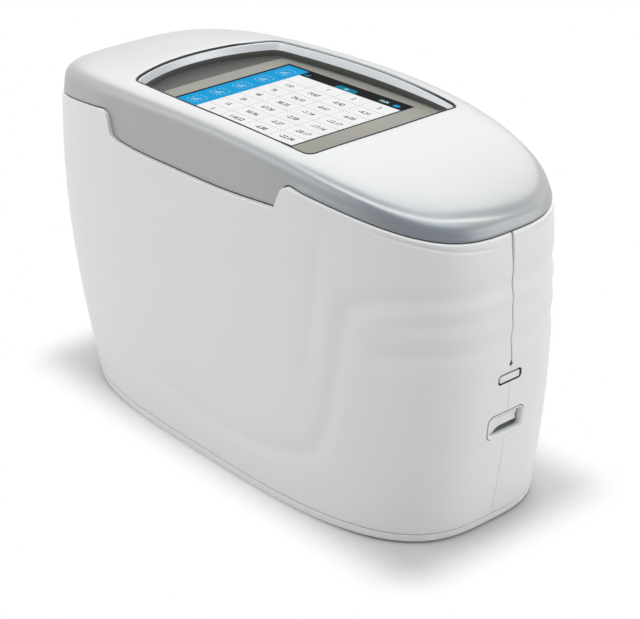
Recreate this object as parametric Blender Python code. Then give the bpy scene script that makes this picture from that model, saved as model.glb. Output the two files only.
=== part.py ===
"""A portable multi-angle spectrophotometer that stands on the surface it measures.

Two white side shells meet on the lengthways middle plane. A silver top cover closes them, with a skirt
on each side that drops into a notch of the shells, and carries the touch screen. A base plate closes the
underside and holds the measuring aperture, the optics block above it and three sprung contact pins.

Frame: +X points to the nose, where the ports and the power rocker are, +Z is up, and the origin lies on
the surface that the instrument stands on, below its middle. Lengths are metres. Until the last step, X is
counted from the middle of the joint between shells and cover.
"""
import math

import bmesh
import bpy
import numpy as np
from mathutils import Matrix, Vector

# Clearances
TOUCH_GAP = 0.0003
OVERRUN = 0.0040
WELD_DISTANCE = 0.00001

# Outline of the housing at the joint between shells and cover, and at the base
PARTING_LENGTH = 0.2220
PARTING_WIDTH = 0.0888
PARTING_HEIGHT = 0.1249
PARTING_NOSE_DROP = 0.0134
PARTING_TAIL_DROP = 0.0112
PARTING_GAP = 0.0004
NOSE_RAKE = 0.0104
TAIL_RAKE = 0.0134
BASE_WIDTH = 0.0910
NOSE_BULGE = 0.0043
TAIL_BULGE = 0.0103
SIDE_WAIST = 0.0006
NOSE_EXPONENT = 3.10
TAIL_EXPONENT = 3.55

# Shells, with soft grooves that run round the nose and down each side
SHELL_WALL = 0.0024
GROOVE_DEPTH = 0.0008
GROOVE_WIDTH = 0.0034
UPPER_GROOVE_SHARES = ((1.04, 0.753), (0.852, 0.737), (0.764, 0.721), (0.703, 0.697), (0.678, 0.652),
                       (0.655, 0.560), (0.632, 0.464), (0.599, 0.336), (0.563, 0.248), (0.512, 0.192),
                       (0.432, 0.152), (0.054, 0.136), (-0.198, 0.160), (-0.441, 0.176))
LOWER_GROOVE_SHARES = ((1.04, 0.592), (0.973, 0.585), (0.880, 0.576), (0.789, 0.568), (0.763, 0.528))

# Base plate and the pads that it stands on
PAD_STANDOFF = 0.0006
PAD_THICKNESS = 0.0014
PAD_LENGTH = 0.0300
PAD_WIDTH = 0.0080
PAD_X = 0.0520
PAD_Y = 0.0260
BASE_THICKNESS = 0.0031
BASE_CHAMFER = 0.0010
LIP_HEIGHT = 0.0028
LIP_THICKNESS = 0.0016

# Screws, and the lugs in the shells that the base and the cover are screwed to
SCREW_RADIUS = 0.0013
SCREW_HEAD_RADIUS = 0.0026
SCREW_HEAD_HEIGHT = 0.0014
SCREW_BITE = 0.0060
CASE_SCREW_FROM_END = 0.0306
CASE_SCREW_INSET = 0.0050
LUG_RADIUS = 0.0042
LUG_HEIGHT = 0.0100
TAB_FROM_END = 0.0310
TAB_FROM_SIDE = 0.0144
TAB_HEIGHT = 0.0980
TAB_THICKNESS = 0.0030
TAB_WIDTH = 0.0100
STUD_RADIUS = 0.0032

# Top cover
COVER_WALL = 0.0022
COVER_INSET = 0.0015
COVER_RIM_DEPTH = 0.0150
CROWN_HEIGHT = 0.0086
CROWN_TAIL_RISE = 0.0074
NOSE_STEP = 0.0018
NOSE_STEP_START = 0.0748
NOSE_STEP_LENGTH = 0.0557
SIDE_SHOULDER_EXPONENT = 5.75
END_SHOULDER_EXPONENT = 4.71

# Skirt of the cover, as seen from the side
SKIRT_TAIL_TOP = -0.0515
SKIRT_TAIL_FOOT = -0.0484
SKIRT_NOSE_FOOT = 0.0445
SKIRT_NOSE_TOP = 0.0487
SKIRT_TAIL_HEIGHT = 0.1108
SKIRT_NOSE_HEIGHT = 0.1130
SKIRT_CORNER = 0.0022

# Screen window in the cover
WINDOW_NOSE = 0.0520
WINDOW_TAIL = -0.0475
WINDOW_WIDTH = 0.0660
WINDOW_SIDE_BOW = 0.0022
WINDOW_NOSE_BOW = 0.0006
WINDOW_TAIL_BOW = 0.0097
WINDOW_CORNER = 0.0036

# Screen frame, glass, display, and the bracket below them
GLASS_HEIGHT = 0.1269
GLASS_THICKNESS = 0.0011
FRAME_WALL = 0.0014
FRAME_DROP = 0.0006
LEDGE_THICKNESS = 0.0009
DISPLAY_LENGTH = 0.0766
DISPLAY_WIDTH = 0.0592
DISPLAY_THICKNESS = 0.0030
DISPLAY_X = 0.0014
BRACKET_THICKNESS = 0.0010
BRACKET_WIDTH = 0.0720
BRACKET_EAR_WIDTH = 0.0450
BRACKET_EAR_END = 0.0070
CABLE_SLOT_LENGTH = 0.0100
CABLE_SLOT_WIDTH = 0.0180
CABLE_SLOT_X = 0.0480
BRACKET_POST_NOSE_X = 0.0630
BRACKET_POST_TAIL_X = -0.0650
BRACKET_POST_Y = 0.0180

# Aperture in the base and its ring
APERTURE_X = -0.0120
APERTURE_RADIUS = 0.0080
APERTURE_FLARE = 0.0030
RING_BODY_RADIUS = 0.0125
RING_FLANGE_RADIUS = 0.0145
RING_FLANGE_THICKNESS = 0.0010

# Optics block: a domed chamber over the aperture and a fan of channels that point at its middle
FAN_RADIUS = 0.0440
FAN_THICKNESS = 0.0180
CHAMBER_RADIUS = 0.0151
CHAMBER_WALL = 0.0024
CHANNEL_RADIUS = 0.0012
SEAT_START = 0.0370
RECEIVER_RADIUS = 0.0026
RECEIVER_BORE = 0.0016
RECEIVER_END = 0.0530
RECEIVER_FLOOR = 0.0020
LAMP_RADIUS = 0.0056
LAMP_BORE = 0.0044
LAMP_END = 0.0560
LAMP_LENS_THICKNESS = 0.0024
LAMP_BOARD_RADIUS = 0.0070
SMALL_BOARD_THICKNESS = 0.0012
RECEIVER_ANGLES = {"as15_outer": 60.0, "as15": 30.0, "as25": 20.0, "as45": 0.0, "as75": -30.0, "as110": -65.0}
LAMP_ANGLE = -45.0

# Contact pins round the aperture, with their guides and springs
PIN_CIRCLE_Y = 0.0235
PIN_SPREAD_X = 0.0210
PIN_RADIUS = 0.0016
PIN_COLLAR_RADIUS = 0.0027
PIN_COLLAR_HEIGHT = 0.0012
PIN_STANDOFF = 0.0001
PIN_TRAVEL = 0.0008
PIN_TAIL = 0.0020
GUIDE_RADIUS = 0.0044
GUIDE_WALL = 0.0012
GUIDE_HEIGHT = 0.0120
SPRING_WIRE = 0.0005
SPRING_TURNS = 4

# Chassis with its legs, board posts and the upright tabs at both ends
CHASSIS_HEIGHT = 0.0600
CHASSIS_THICKNESS = 0.0018
CHASSIS_FROM_END = 0.0150
CHASSIS_WIDTH = 0.0560
CHASSIS_CORNER = 0.0060
LEG_RADIUS = 0.0034
LEG_FROM_NOSE = 0.0400
LEG_FROM_TAIL = 0.0100
LEG_Y = 0.0230
END_TAB_WIDTH = 0.0200

# Main board and what is on it
BOARD_FROM_NOSE = 0.0055
BOARD_FROM_BATTERY = 0.0110
MAIN_BOARD_WIDTH = 0.0500
MAIN_BOARD_THICKNESS = 0.0016
BOARD_POST_HEIGHT = 0.0060
BOARD_POST_RADIUS = 0.0030
BOARD_POST_INSET = 0.0050
SHIELD_LENGTH = 0.0300
SHIELD_WIDTH = 0.0260
SHIELD_HEIGHT = 0.0030
SHIELD_BEHIND_MIDDLE = 0.0120
BUZZER_RADIUS = 0.0060
BUZZER_HEIGHT = 0.0045
BUZZER_FROM_TAIL = 0.0085
CABLE_SOCKET_LENGTH = 0.0050
CABLE_SOCKET_WIDTH = 0.0140
CABLE_SOCKET_HEIGHT = 0.0022
CABLE_SOCKET_X = 0.0560

# Battery and its strap
BATTERY_LENGTH = 0.0360
BATTERY_WIDTH = 0.0480
BATTERY_HEIGHT = 0.0180
BATTERY_EDGE = 0.0040
BATTERY_FROM_TAIL = 0.0130
STRAP_THICKNESS = 0.0008
STRAP_LENGTH = 0.0140

# Flat cable from display to main board
CABLE_WIDTH = 0.0120
CABLE_THICKNESS = 0.0004
CABLE_BEND = 0.0040

# Measure key at the tail
KEY_BELOW_COVER = 0.0152
KEY_WIDTH = 0.0210
KEY_TALLNESS = 0.0130
KEY_PROUD = 0.0009
KEY_TRAVEL = 0.0008
KEY_FLANGE = 0.0012
KEY_FLANGE_THICKNESS = 0.0010
KEY_STEM_RADIUS = 0.0022
KEY_STEM_LENGTH = 0.0040
KEY_SWITCH_SIDE = 0.0060
KEY_SWITCH_HEIGHT = 0.0034
KEY_BOARD_WIDTH = 0.0220
KEY_BOARD_TALLNESS = 0.0200

# Ports at the nose: reset pinhole, charging port and its cover
PORT_WIDTH = 0.0102
PORT_TALLNESS = 0.0036
PORT_HEIGHT = 0.0602
PORT_CORNER = 0.0012
PORT_COVER_THICKNESS = 0.0012
PORT_COVER_RECESS = 0.0003
SOCKET_WIDTH = 0.0090
SOCKET_TALLNESS = 0.0032
SOCKET_WALL = 0.0004
SOCKET_DEPTH = 0.0062
TONGUE_THICKNESS = 0.0007
TONGUE_WIDTH = 0.0066
TONGUE_LENGTH = 0.0046
PORT_BOARD_WIDTH = 0.0200
PORT_BOARD_FOOT = 0.0350
PORT_BOARD_TOP = 0.0720
PINHOLE_HEIGHT = 0.0651
PINHOLE_RADIUS = 0.0006
PLUNGER_RADIUS = 0.0009
PLUNGER_LENGTH = 0.0022
RESET_TRAVEL = 0.0003
RESET_SWITCH_SIDE = 0.0036

# Power rocker in its recess below the port
RECESS_HEIGHT = 0.0424
RECESS_WIDTH = 0.0164
RECESS_TALLNESS = 0.0094
RECESS_CORNER = 0.0024
BEZEL_WALL = 0.0010
BEZEL_DEPTH = 0.0082
ROCKER_WIDTH = 0.0136
ROCKER_TALLNESS = 0.0056
ROCKER_PIVOT_DEPTH = 0.0052
ROCKER_THICKNESS = 0.0016
ROCKER_HUB_RADIUS = 0.0011
ROCKER_TILT_DEG = 12.0
ROCKER_PIN_RADIUS = 0.0007
ROCKER_PIN_LENGTH = 0.0008

# Fineness of the curved surfaces
HALF_STEPS = 28
CORNER_SHARE = 0.55
SHELL_ROW_SHARES = (0, 0.12, 0.28, 0.44, 0.59, 0.62, 0.648, 0.676, 0.71, 0.765, 0.80, 0.832, 0.864, 0.91,
                    1.04)
SHELL_INNER_SHARES = (1.04, 0.90, 0.83, 0.76, 0.66, 0.52, 0.34, 0)
CROWN_SHARES = (0.34, 0.62, 0.78, 0.88, 0.94, 0.975, 0.995, 1)
CROWN_INNER_SHARES = (0.34, 0.78, 0.94, 0.995, 1)
APERTURE_SIDES = 24
ROUND_SIDES = 16
SMALL_SIDES = 10
HOLE_SIDES = 8
COIL_SIDES = 6
CORNER_STEPS = 4
BOW_STEPS = 8
SPLIT_STEPS = 8
DOME_STEPS = 5
DOME_TIP_SHARE = 0.07
FINE_STEPS = 1800
SOLVE_ROUNDS = 6
SMOOTH_DEG = 32.0


def clear_scene():
    for item in list(bpy.data.objects):
        bpy.data.objects.remove(item)


def make_material(name, colour, roughness, metallic=0.0):
    material = bpy.data.materials.new(name)
    material.use_nodes = True
    shader = material.node_tree.nodes["Principled BSDF"]
    shader.inputs["Base Color"].default_value = (*colour, 1.0)
    shader.inputs["Roughness"].default_value = roughness
    shader.inputs["Metallic"].default_value = metallic
    return material


clear_scene()
WHITE = make_material("white_housing", (0.80, 0.81, 0.81), 0.38)
SILVER = make_material("silver_paint", (0.56, 0.58, 0.58), 0.30, 0.55)
BLACK = make_material("black_plastic", (0.03, 0.03, 0.03), 0.50)
RUBBER = make_material("dark_rubber", (0.06, 0.06, 0.065), 0.75)
GLASS = make_material("bezel_glass", (0.10, 0.10, 0.095), 0.06)
SCREEN = make_material("display_face", (0.30, 0.45, 0.55), 0.25)
STEEL = make_material("steel", (0.62, 0.62, 0.62), 0.28, 1.0)
ALUMINIUM = make_material("anodised_aluminium", (0.46, 0.47, 0.48), 0.35, 1.0)
BOARD = make_material("circuit_board", (0.03, 0.19, 0.09), 0.45)
LENS = make_material("optical_glass", (0.75, 0.85, 0.88), 0.03)
CELL = make_material("battery_wrap", (0.10, 0.22, 0.45), 0.45)
CABLE = make_material("flat_cable", (0.70, 0.42, 0.12), 0.40)
KEY_GREY = make_material("key_grey", (0.36, 0.38, 0.39), 0.40)


def finish_object(name, bm, material, pivot=(0, 0, 0)):
    """Give a mesh its object, with its origin at the pivot."""
    bmesh.ops.remove_doubles(bm, verts=bm.verts, dist=WELD_DISTANCE)
    bmesh.ops.recalc_face_normals(bm, faces=bm.faces)
    bmesh.ops.translate(bm, verts=bm.verts, vec=-Vector(pivot))
    mesh = bpy.data.meshes.new(name)
    bm.to_mesh(mesh)
    bm.free()
    mesh.materials.append(material)
    mesh.shade_smooth()
    mesh.set_sharp_from_angle(angle=math.radians(SMOOTH_DEG))
    item = bpy.data.objects.new(name, mesh)
    item.location = pivot
    bpy.context.collection.objects.link(item)
    return item


def apply_tool(target, label, bm, operation):
    """Cut the target with a shape, or join the shape to it."""
    tool = finish_object(f"{target.name}_{label}", bm, target.data.materials[0])
    tool.hide_render = True
    tool.display_type = "WIRE"
    modifier = target.modifiers.new(label, "BOOLEAN")
    modifier.operation = operation
    modifier.solver = "EXACT"
    modifier.object = tool


def cut(target, label, bm):
    apply_tool(target, label, bm, "DIFFERENCE")


def join(target, label, bm):
    apply_tool(target, label, bm, "UNION")


def skin(rings, closed=False):
    """Bridge rings of equal count into one body, capped at its ends or closed on itself."""
    bm = bmesh.new()
    loops = [[bm.verts.new(point) for point in ring] for ring in rings]
    pairs = list(zip(loops, loops[1:]))
    if closed:
        pairs.append((loops[-1], loops[0]))
    for low, high in pairs:
        for i in range(len(low)):
            j = (i + 1) % len(low)
            bm.faces.new((low[i], low[j], high[j], high[i]))
    if not closed:
        bm.faces.new(loops[0])
        bm.faces.new(loops[-1])
    return bm


def prism(outline, low, high):
    """An outline in X and Y between two heights."""
    return skin([[(x, y, z) for x, y in outline] for z in (low, high)])


def along_x(outline, low, high):
    """An outline in Y and Z between two places along X."""
    return skin([[(x, y, z) for y, z in outline] for x in (low, high)])


def along_y(outline, low, high):
    """An outline in X and Z between two places along Y."""
    return skin([[(x, y, z) for x, z in outline] for y in (low, high)])


def box(low, high):
    outline = ((low[0], low[1]), (high[0], low[1]), (high[0], high[1]), (low[0], high[1]))
    return prism(outline, low[2], high[2])


def rounded_rectangle(half_length, half_width, radius, centre=(0, 0)):
    points = []
    for sign_x, sign_y, start in ((1, 1, 0), (-1, 1, 90), (-1, -1, 180), (1, -1, 270)):
        for step in range(CORNER_STEPS + 1):
            angle = math.radians(start + 90 * step / CORNER_STEPS)
            point = Vector((centre[0] + sign_x * (half_length - radius) + radius * math.cos(angle),
                            centre[1] + sign_y * (half_width - radius) + radius * math.sin(angle)))
            if not points or (point - points[-1]).length > WELD_DISTANCE:
                points.append(point)
    if (points[0] - points[-1]).length < WELD_DISTANCE:
        points.pop()
    return [tuple(point) for point in points]


def circle(radius, sides):
    return [(radius * math.cos(2 * math.pi * k / sides), radius * math.sin(2 * math.pi * k / sides))
            for k in range(sides)]


def turned(profile, centre, axis=(0, 0, 1), sides=SMALL_SIDES, hollow=False):
    """A profile of (radius, height) turned round an axis; a hollow one closes on itself."""
    rings = [[(x, y, height) for x, y in circle(radius, sides)] for radius, height in profile]
    bm = skin(rings, closed=hollow)
    turn = Vector((0, 0, 1)).rotation_difference(Vector(axis)).to_matrix().to_4x4()
    bm.transform(Matrix.Translation(Vector(centre)) @ turn)
    return bm


def rod(radius, low, high, centre, axis=(0, 0, 1), sides=SMALL_SIDES):
    return turned([(radius, low), (radius, high)], centre, axis, sides)


def screw(x, y, seat, grip, gap=TOUCH_GAP, up=True):
    """A screw whose head bears on a seat and whose shank crosses the grip and bites what lies beyond."""
    sign = 1 if up else -1
    under_head = -sign * gap
    tip = sign * (grip + TOUCH_GAP + SCREW_BITE)
    head_top = under_head - sign * SCREW_HEAD_HEIGHT
    profile = [(SCREW_HEAD_RADIUS, head_top), (SCREW_HEAD_RADIUS, under_head), (SCREW_RADIUS, under_head),
               (SCREW_RADIUS, tip)]
    return turned(profile, (x, y, seat))


def screw_hole(x, y, low, high, radius=SCREW_RADIUS):
    return rod(radius + TOUCH_GAP, low, high, (x, y, 0), sides=HOLE_SIDES)


def parting_height(x):
    drop = PARTING_NOSE_DROP if x > 0 else PARTING_TAIL_DROP
    return PARTING_HEIGHT - drop * (2 * x / PARTING_LENGTH) ** 2


def outline_size(rise, ahead, inset):
    """Reach, half width and exponent of the outline; rise is a height as a share of the parting height."""
    belly = 4 * rise * (1 - rise)
    rake = NOSE_RAKE if ahead else TAIL_RAKE
    bulge = NOSE_BULGE if ahead else TAIL_BULGE
    exponent = NOSE_EXPONENT if ahead else TAIL_EXPONENT
    reach = PARTING_LENGTH / 2 - rake * (1 - rise) + bulge * belly
    half = (BASE_WIDTH + (PARTING_WIDTH - BASE_WIDTH) * rise) / 2 - SIDE_WAIST * belly
    return reach - inset, half - inset, exponent


def outline_point(turn, rise, inset):
    cosine, sine = math.cos(turn), math.sin(turn)
    reach, half, exponent = outline_size(rise, cosine >= 0, inset)
    return (math.copysign(reach * abs(cosine) ** (2 / exponent), cosine),
            math.copysign(half * abs(sine) ** (2 / exponent), sine))


def wall_point(turn, height_at, inset=0.0):
    """A point of the housing wall at the height that height_at gives for its x."""
    x = 0.0
    for _ in range(SOLVE_ROUNDS):
        z = height_at(x)
        x, y = outline_point(turn, z / parting_height(x), inset)
    return Vector((x, y, z))


def wall_x(y, z, inset=0.0, ahead=True):
    """Where the nose wall, or the tail wall, lies at a given y and z."""
    x = 0.0
    for _ in range(SOLVE_ROUNDS):
        reach, half, exponent = outline_size(z / parting_height(x), ahead, inset)
        along = reach * (1 - (abs(y) / half) ** exponent) ** (1 / exponent)
        x = along if ahead else -along
    return x


def wall_y(x, z, inset=0.0):
    """Half the width of the housing at a given x and z."""
    reach, half, exponent = outline_size(z / parting_height(x), x > 0, inset)
    return half * (1 - (abs(x) / reach) ** exponent) ** (1 / exponent)


def level(height):
    return lambda x: height


def even_turns(steps):
    """Turns over half the outline, evenly spaced along it and closer where it bends."""
    fine = np.linspace(0, math.pi, FINE_STEPS + 1)
    points = np.array([outline_point(turn, 0.5, 0) for turn in fine])
    runs = np.diff(points, axis=0)
    lengths = np.hypot(runs[:, 0], runs[:, 1])
    angles = np.unwrap(np.arctan2(runs[:, 1], runs[:, 0]))
    bends = np.append(np.abs(np.diff(angles)), 0)
    measure = lengths / lengths.sum() + CORNER_SHARE * bends / bends.sum()
    along = np.insert(np.cumsum(measure), 0, 0)
    return [float(turn) for turn in np.interp(np.linspace(0, along[-1], steps + 1), along, fine)]


HALF_TURNS = even_turns(HALF_STEPS)
FULL_TURNS = HALF_TURNS + [2 * math.pi - turn for turn in reversed(HALF_TURNS[1:-1])]

# Heights that follow from the stack of pieces, each on the one below
BASE_TOP = PAD_STANDOFF + BASE_THICKNESS
FLOOR = BASE_TOP + TOUCH_GAP
SCREW_SEAT = PAD_STANDOFF + SCREW_HEAD_HEIGHT + 2 * TOUCH_GAP
GLASS_BOTTOM = GLASS_HEIGHT - GLASS_THICKNESS
LEDGE_TOP = GLASS_BOTTOM - TOUCH_GAP
DISPLAY_BOTTOM = LEDGE_TOP - DISPLAY_THICKNESS
BRACKET_TOP = DISPLAY_BOTTOM - TOUCH_GAP
BRACKET_BOTTOM = BRACKET_TOP - BRACKET_THICKNESS
CHASSIS_TOP = CHASSIS_HEIGHT + CHASSIS_THICKNESS
BOARD_BOTTOM = CHASSIS_TOP + BOARD_POST_HEIGHT + TOUCH_GAP
BOARD_TOP = BOARD_BOTTOM + MAIN_BOARD_THICKNESS
KEY_HEIGHT = parting_height(-PARTING_LENGTH / 2) - KEY_BELOW_COVER - KEY_TALLNESS / 2

# Places that follow from the housing's ends and sides
TAB_X = PARTING_LENGTH / 2 - TAB_FROM_END
TAB_Y = PARTING_WIDTH / 2 - TAB_FROM_SIDE
CHASSIS_NOSE = PARTING_LENGTH / 2 - CHASSIS_FROM_END
CHASSIS_TAIL = CHASSIS_FROM_END - PARTING_LENGTH / 2
BATTERY_X = CHASSIS_TAIL + BATTERY_FROM_TAIL + BATTERY_LENGTH / 2
BOARD_NOSE = CHASSIS_NOSE - BOARD_FROM_NOSE
BOARD_TAIL = BATTERY_X + BATTERY_LENGTH / 2 + BOARD_FROM_BATTERY
MAIN_BOARD_LENGTH = BOARD_NOSE - BOARD_TAIL
MAIN_BOARD_X = (BOARD_NOSE + BOARD_TAIL) / 2


def wall_ring(height_at, inset):
    return [wall_point(turn, height_at, inset) for turn in FULL_TURNS]


def groove_lines():
    """The two soft grooves as lines in X and Z."""
    return [[Vector((x * PARTING_LENGTH / 2, z * PARTING_HEIGHT)) for x, z in shares]
            for shares in (UPPER_GROOVE_SHARES, LOWER_GROOVE_SHARES)]


def distance_to_run(point, start, end):
    run = end - start
    along = max(0.0, min(1.0, (point - start).dot(run) / run.length_squared))
    return (point - start - run * along).length


def groove_inset(point, lines):
    """How far a soft groove sinks the wall at this point."""
    flat = Vector((point.x, point.z))
    near = min(distance_to_run(flat, a, b) for line in lines for a, b in zip(line, line[1:]))
    return GROOVE_DEPTH * math.exp(-((near / GROOVE_WIDTH) ** 2))


def shell_rise(share):
    return lambda x: FLOOR + share * (parting_height(x) - FLOOR)


def ease_corner(before, corner, after, radius):
    """A short curve that replaces a corner, starting and ending a radius away from it."""
    start = corner + (before - corner).normalized() * radius
    end = corner + (after - corner).normalized() * radius
    shares = [step / CORNER_STEPS for step in range(CORNER_STEPS + 1)]
    return [start * (1 - t) ** 2 + corner * 2 * t * (1 - t) + end * t ** 2 for t in shares]


def ease_line(points, radius):
    """An open line with every inner corner eased."""
    eased = [points[0]]
    for before, corner, after in zip(points, points[1:], points[2:]):
        eased.extend(ease_corner(before, corner, after, radius))
    eased.append(points[-1])
    return eased


def split_line(gap):
    """The joint between shells and cover seen from the side, lowered and widened by a gap."""
    def follow(start, end):
        return [Vector((x, parting_height(x) - gap)) for x in np.linspace(start, end, SPLIT_STEPS + 1)]

    reach = PARTING_LENGTH / 2 + OVERRUN
    tail_start = SKIRT_TAIL_TOP - 2 * SKIRT_CORNER
    nose_start = SKIRT_NOSE_TOP + 2 * SKIRT_CORNER
    notch = [Vector((tail_start, parting_height(tail_start) - gap)),
             Vector((SKIRT_TAIL_TOP - gap, parting_height(SKIRT_TAIL_TOP) - gap)),
             Vector((SKIRT_TAIL_FOOT - gap, SKIRT_TAIL_HEIGHT - gap)),
             Vector((SKIRT_NOSE_FOOT + gap, SKIRT_NOSE_HEIGHT - gap)),
             Vector((SKIRT_NOSE_TOP + gap, parting_height(SKIRT_NOSE_TOP) - gap)),
             Vector((nose_start, parting_height(nose_start) - gap))]
    return (follow(-reach, tail_start - SKIRT_CORNER) + ease_line(notch, SKIRT_CORNER / 2)
            + follow(nose_start + SKIRT_CORNER, reach))


def split_tool(gap, far_height):
    """A body between the split line and a far height, right across the housing."""
    line = [tuple(point) for point in split_line(gap)]
    outline = line + [(line[-1][0], far_height), (line[0][0], far_height)]
    reach = max(BASE_WIDTH, PARTING_WIDTH) / 2 + OVERRUN
    return along_y(outline, -reach, reach)


def case_screw_places(side):
    """The two screws that hold one shell to the base plate."""
    nose = wall_x(0, BASE_TOP) - CASE_SCREW_FROM_END
    tail = wall_x(0, BASE_TOP, ahead=False) + CASE_SCREW_FROM_END
    return [(x, side * wall_y(x, BASE_TOP, CASE_SCREW_INSET)) for x in (tail, nose)]


def stud_places():
    return [(x, y) for x in (-TAB_X, TAB_X) for y in (-TAB_Y, TAB_Y)]


def bracket_post_places():
    return [(x, y) for x in (BRACKET_POST_TAIL_X, BRACKET_POST_NOSE_X)
            for y in (-BRACKET_POST_Y, BRACKET_POST_Y)]


def make_shell(name, side):
    """One side shell: a wall of even thickness, open at top and bottom, cut on the middle plane."""
    lines = groove_lines()
    loops = []
    for turn in HALF_TURNS:
        smooth = [wall_point(turn, shell_rise(share)) for share in SHELL_ROW_SHARES]
        loop = [wall_point(turn, shell_rise(share), groove_inset(point, lines))
                for share, point in zip(SHELL_ROW_SHARES, smooth)]
        loop += [wall_point(turn, shell_rise(share), SHELL_WALL) for share in SHELL_INNER_SHARES]
        loops.append([(p.x, side * max(p.y, TOUCH_GAP / 2), p.z) for p in loop])
    shell = finish_object(name, skin(loops), WHITE)
    for k, (x, y) in enumerate(case_screw_places(side)):
        lug = rod(LUG_RADIUS, BASE_TOP, BASE_TOP + LUG_HEIGHT, (x, y, 0), sides=ROUND_SIDES)
        join(shell, f"lug_{k}", lug)
        cut(shell, f"lug_hole_{k}", screw_hole(x, y, 0, BASE_TOP + SCREW_BITE + 3 * TOUCH_GAP))
    for k, x in enumerate((-TAB_X, TAB_X)):
        far_x = x + math.copysign(TAB_WIDTH / 2, x)
        root = wall_y(far_x, TAB_HEIGHT, SHELL_WALL / 2)
        low_y, high_y = sorted((side * (TAB_Y - TAB_WIDTH / 2), side * root))
        join(shell, f"tab_{k}", box((x - TAB_WIDTH / 2, low_y, TAB_HEIGHT),
                                    (x + TAB_WIDTH / 2, high_y, TAB_HEIGHT + TAB_THICKNESS)))
        cut(shell, f"tab_hole_{k}", screw_hole(x, side * TAB_Y, TAB_HEIGHT - OVERRUN,
                                               TAB_HEIGHT + TAB_THICKNESS + OVERRUN))
    cut(shell, "split", split_tool(PARTING_GAP, PARTING_HEIGHT + COVER_RIM_DEPTH))
    inside = wall_x(0, RECESS_HEIGHT, SHELL_WALL) - OVERRUN
    outside = PARTING_LENGTH / 2 + OVERRUN
    cut(shell, "port", along_x(port_outline(0), inside, outside))
    cut(shell, "recess", along_x(recess_outline(TOUCH_GAP), inside, outside))
    cut(shell, "pinhole", rod(PINHOLE_RADIUS, inside, outside, (0, 0, PINHOLE_HEIGHT), (1, 0, 0)))
    tail = wall_x(0, KEY_HEIGHT, ahead=False)
    cut(shell, "key_hole", along_x(key_outline(TOUCH_GAP), tail - OVERRUN, tail + SHELL_WALL + OVERRUN))


def key_outline(grow):
    half_tall = KEY_TALLNESS / 2 + grow
    return rounded_rectangle(KEY_WIDTH / 2 + grow, half_tall, half_tall, (0, KEY_HEIGHT))


def port_outline(grow):
    return rounded_rectangle(PORT_WIDTH / 2 + grow, PORT_TALLNESS / 2 + grow, PORT_CORNER + grow,
                             (0, PORT_HEIGHT))


def recess_outline(grow):
    return rounded_rectangle(RECESS_WIDTH / 2 + grow, RECESS_TALLNESS / 2 + grow, RECESS_CORNER + grow,
                             (0, RECESS_HEIGHT))


def crown_height(x, share, endwise, height):
    """Height of the crown where share is 1 at the cover's edge and endwise is 1 at nose and tail."""
    behind = 2 * max(-x, 0) / PARTING_LENGTH
    step = min(max((x - NOSE_STEP_START) / NOSE_STEP_LENGTH, 0), 1)
    top = height + CROWN_TAIL_RISE * behind ** 2 - NOSE_STEP * step * step * (3 - 2 * step)
    exponent = SIDE_SHOULDER_EXPONENT * (1 - endwise) + END_SHOULDER_EXPONENT * endwise
    return parting_height(x) + top * max(0.0, 1 - share ** exponent) ** (1 / exponent)


def crown_ring(share, inset, height):
    ring = []
    for turn in FULL_TURNS:
        edge = outline_point(turn, 1.0, inset)
        x, y = edge[0] * share, edge[1] * share
        ring.append((x, y, crown_height(x, share, math.cos(turn) ** 2, height)))
    return ring


def crown_at(x, y):
    """Height of the cover's outer surface above a point inside its outline."""
    reach, half, exponent = outline_size(1.0, x > 0, COVER_INSET)
    along, across = abs(x) / reach, abs(y) / half
    share = (along ** exponent + across ** exponent) ** (1 / exponent)
    endwise = (along / share) ** exponent
    return crown_height(x, share, endwise, CROWN_HEIGHT)


def cover_rim(x):
    return parting_height(x) - COVER_RIM_DEPTH


def make_cover():
    """The silver top cover: a crown with a deep rim, cut back so that only the skirts reach down."""
    inner = COVER_INSET + COVER_WALL
    rings = [crown_ring(share, inner, CROWN_HEIGHT - COVER_WALL) for share in CROWN_INNER_SHARES]
    rings += [wall_ring(cover_rim, inner), wall_ring(cover_rim, COVER_INSET)]
    rings += [crown_ring(share, COVER_INSET, CROWN_HEIGHT) for share in reversed(CROWN_SHARES)]
    cover = finish_object("top_cover", skin(rings), SILVER)
    cut(cover, "split", split_tool(0.0, PARTING_HEIGHT - 3 * COVER_RIM_DEPTH))
    cut(cover, "window", prism(window_outline(0), GLASS_HEIGHT - 2 * OVERRUN,
                               PARTING_HEIGHT + COVER_RIM_DEPTH))
    posts = [(place, BRACKET_TOP + TOUCH_GAP) for place in bracket_post_places()]
    posts += [(place, TAB_HEIGHT + TAB_THICKNESS + TOUCH_GAP) for place in stud_places()]
    for k, ((x, y), foot) in enumerate(posts):
        top = crown_at(x, y) - COVER_WALL / 2
        join(cover, f"post_{k}", rod(STUD_RADIUS, foot, top, (x, y, 0)))
        depth = min(SCREW_BITE + 2 * TOUCH_GAP, top - foot - COVER_WALL)
        cut(cover, f"post_hole_{k}", screw_hole(x, y, foot - OVERRUN, foot + depth))


def bowed_run(start, end, bow):
    """Points from start to just before end, bowed to the right-hand side of the run."""
    run = end - start
    side = Vector((run.y, -run.x)).normalized()
    shares = [k / BOW_STEPS for k in range(BOW_STEPS)]
    return [start.lerp(end, t) + side * bow * 4 * t * (1 - t) for t in shares]


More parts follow.
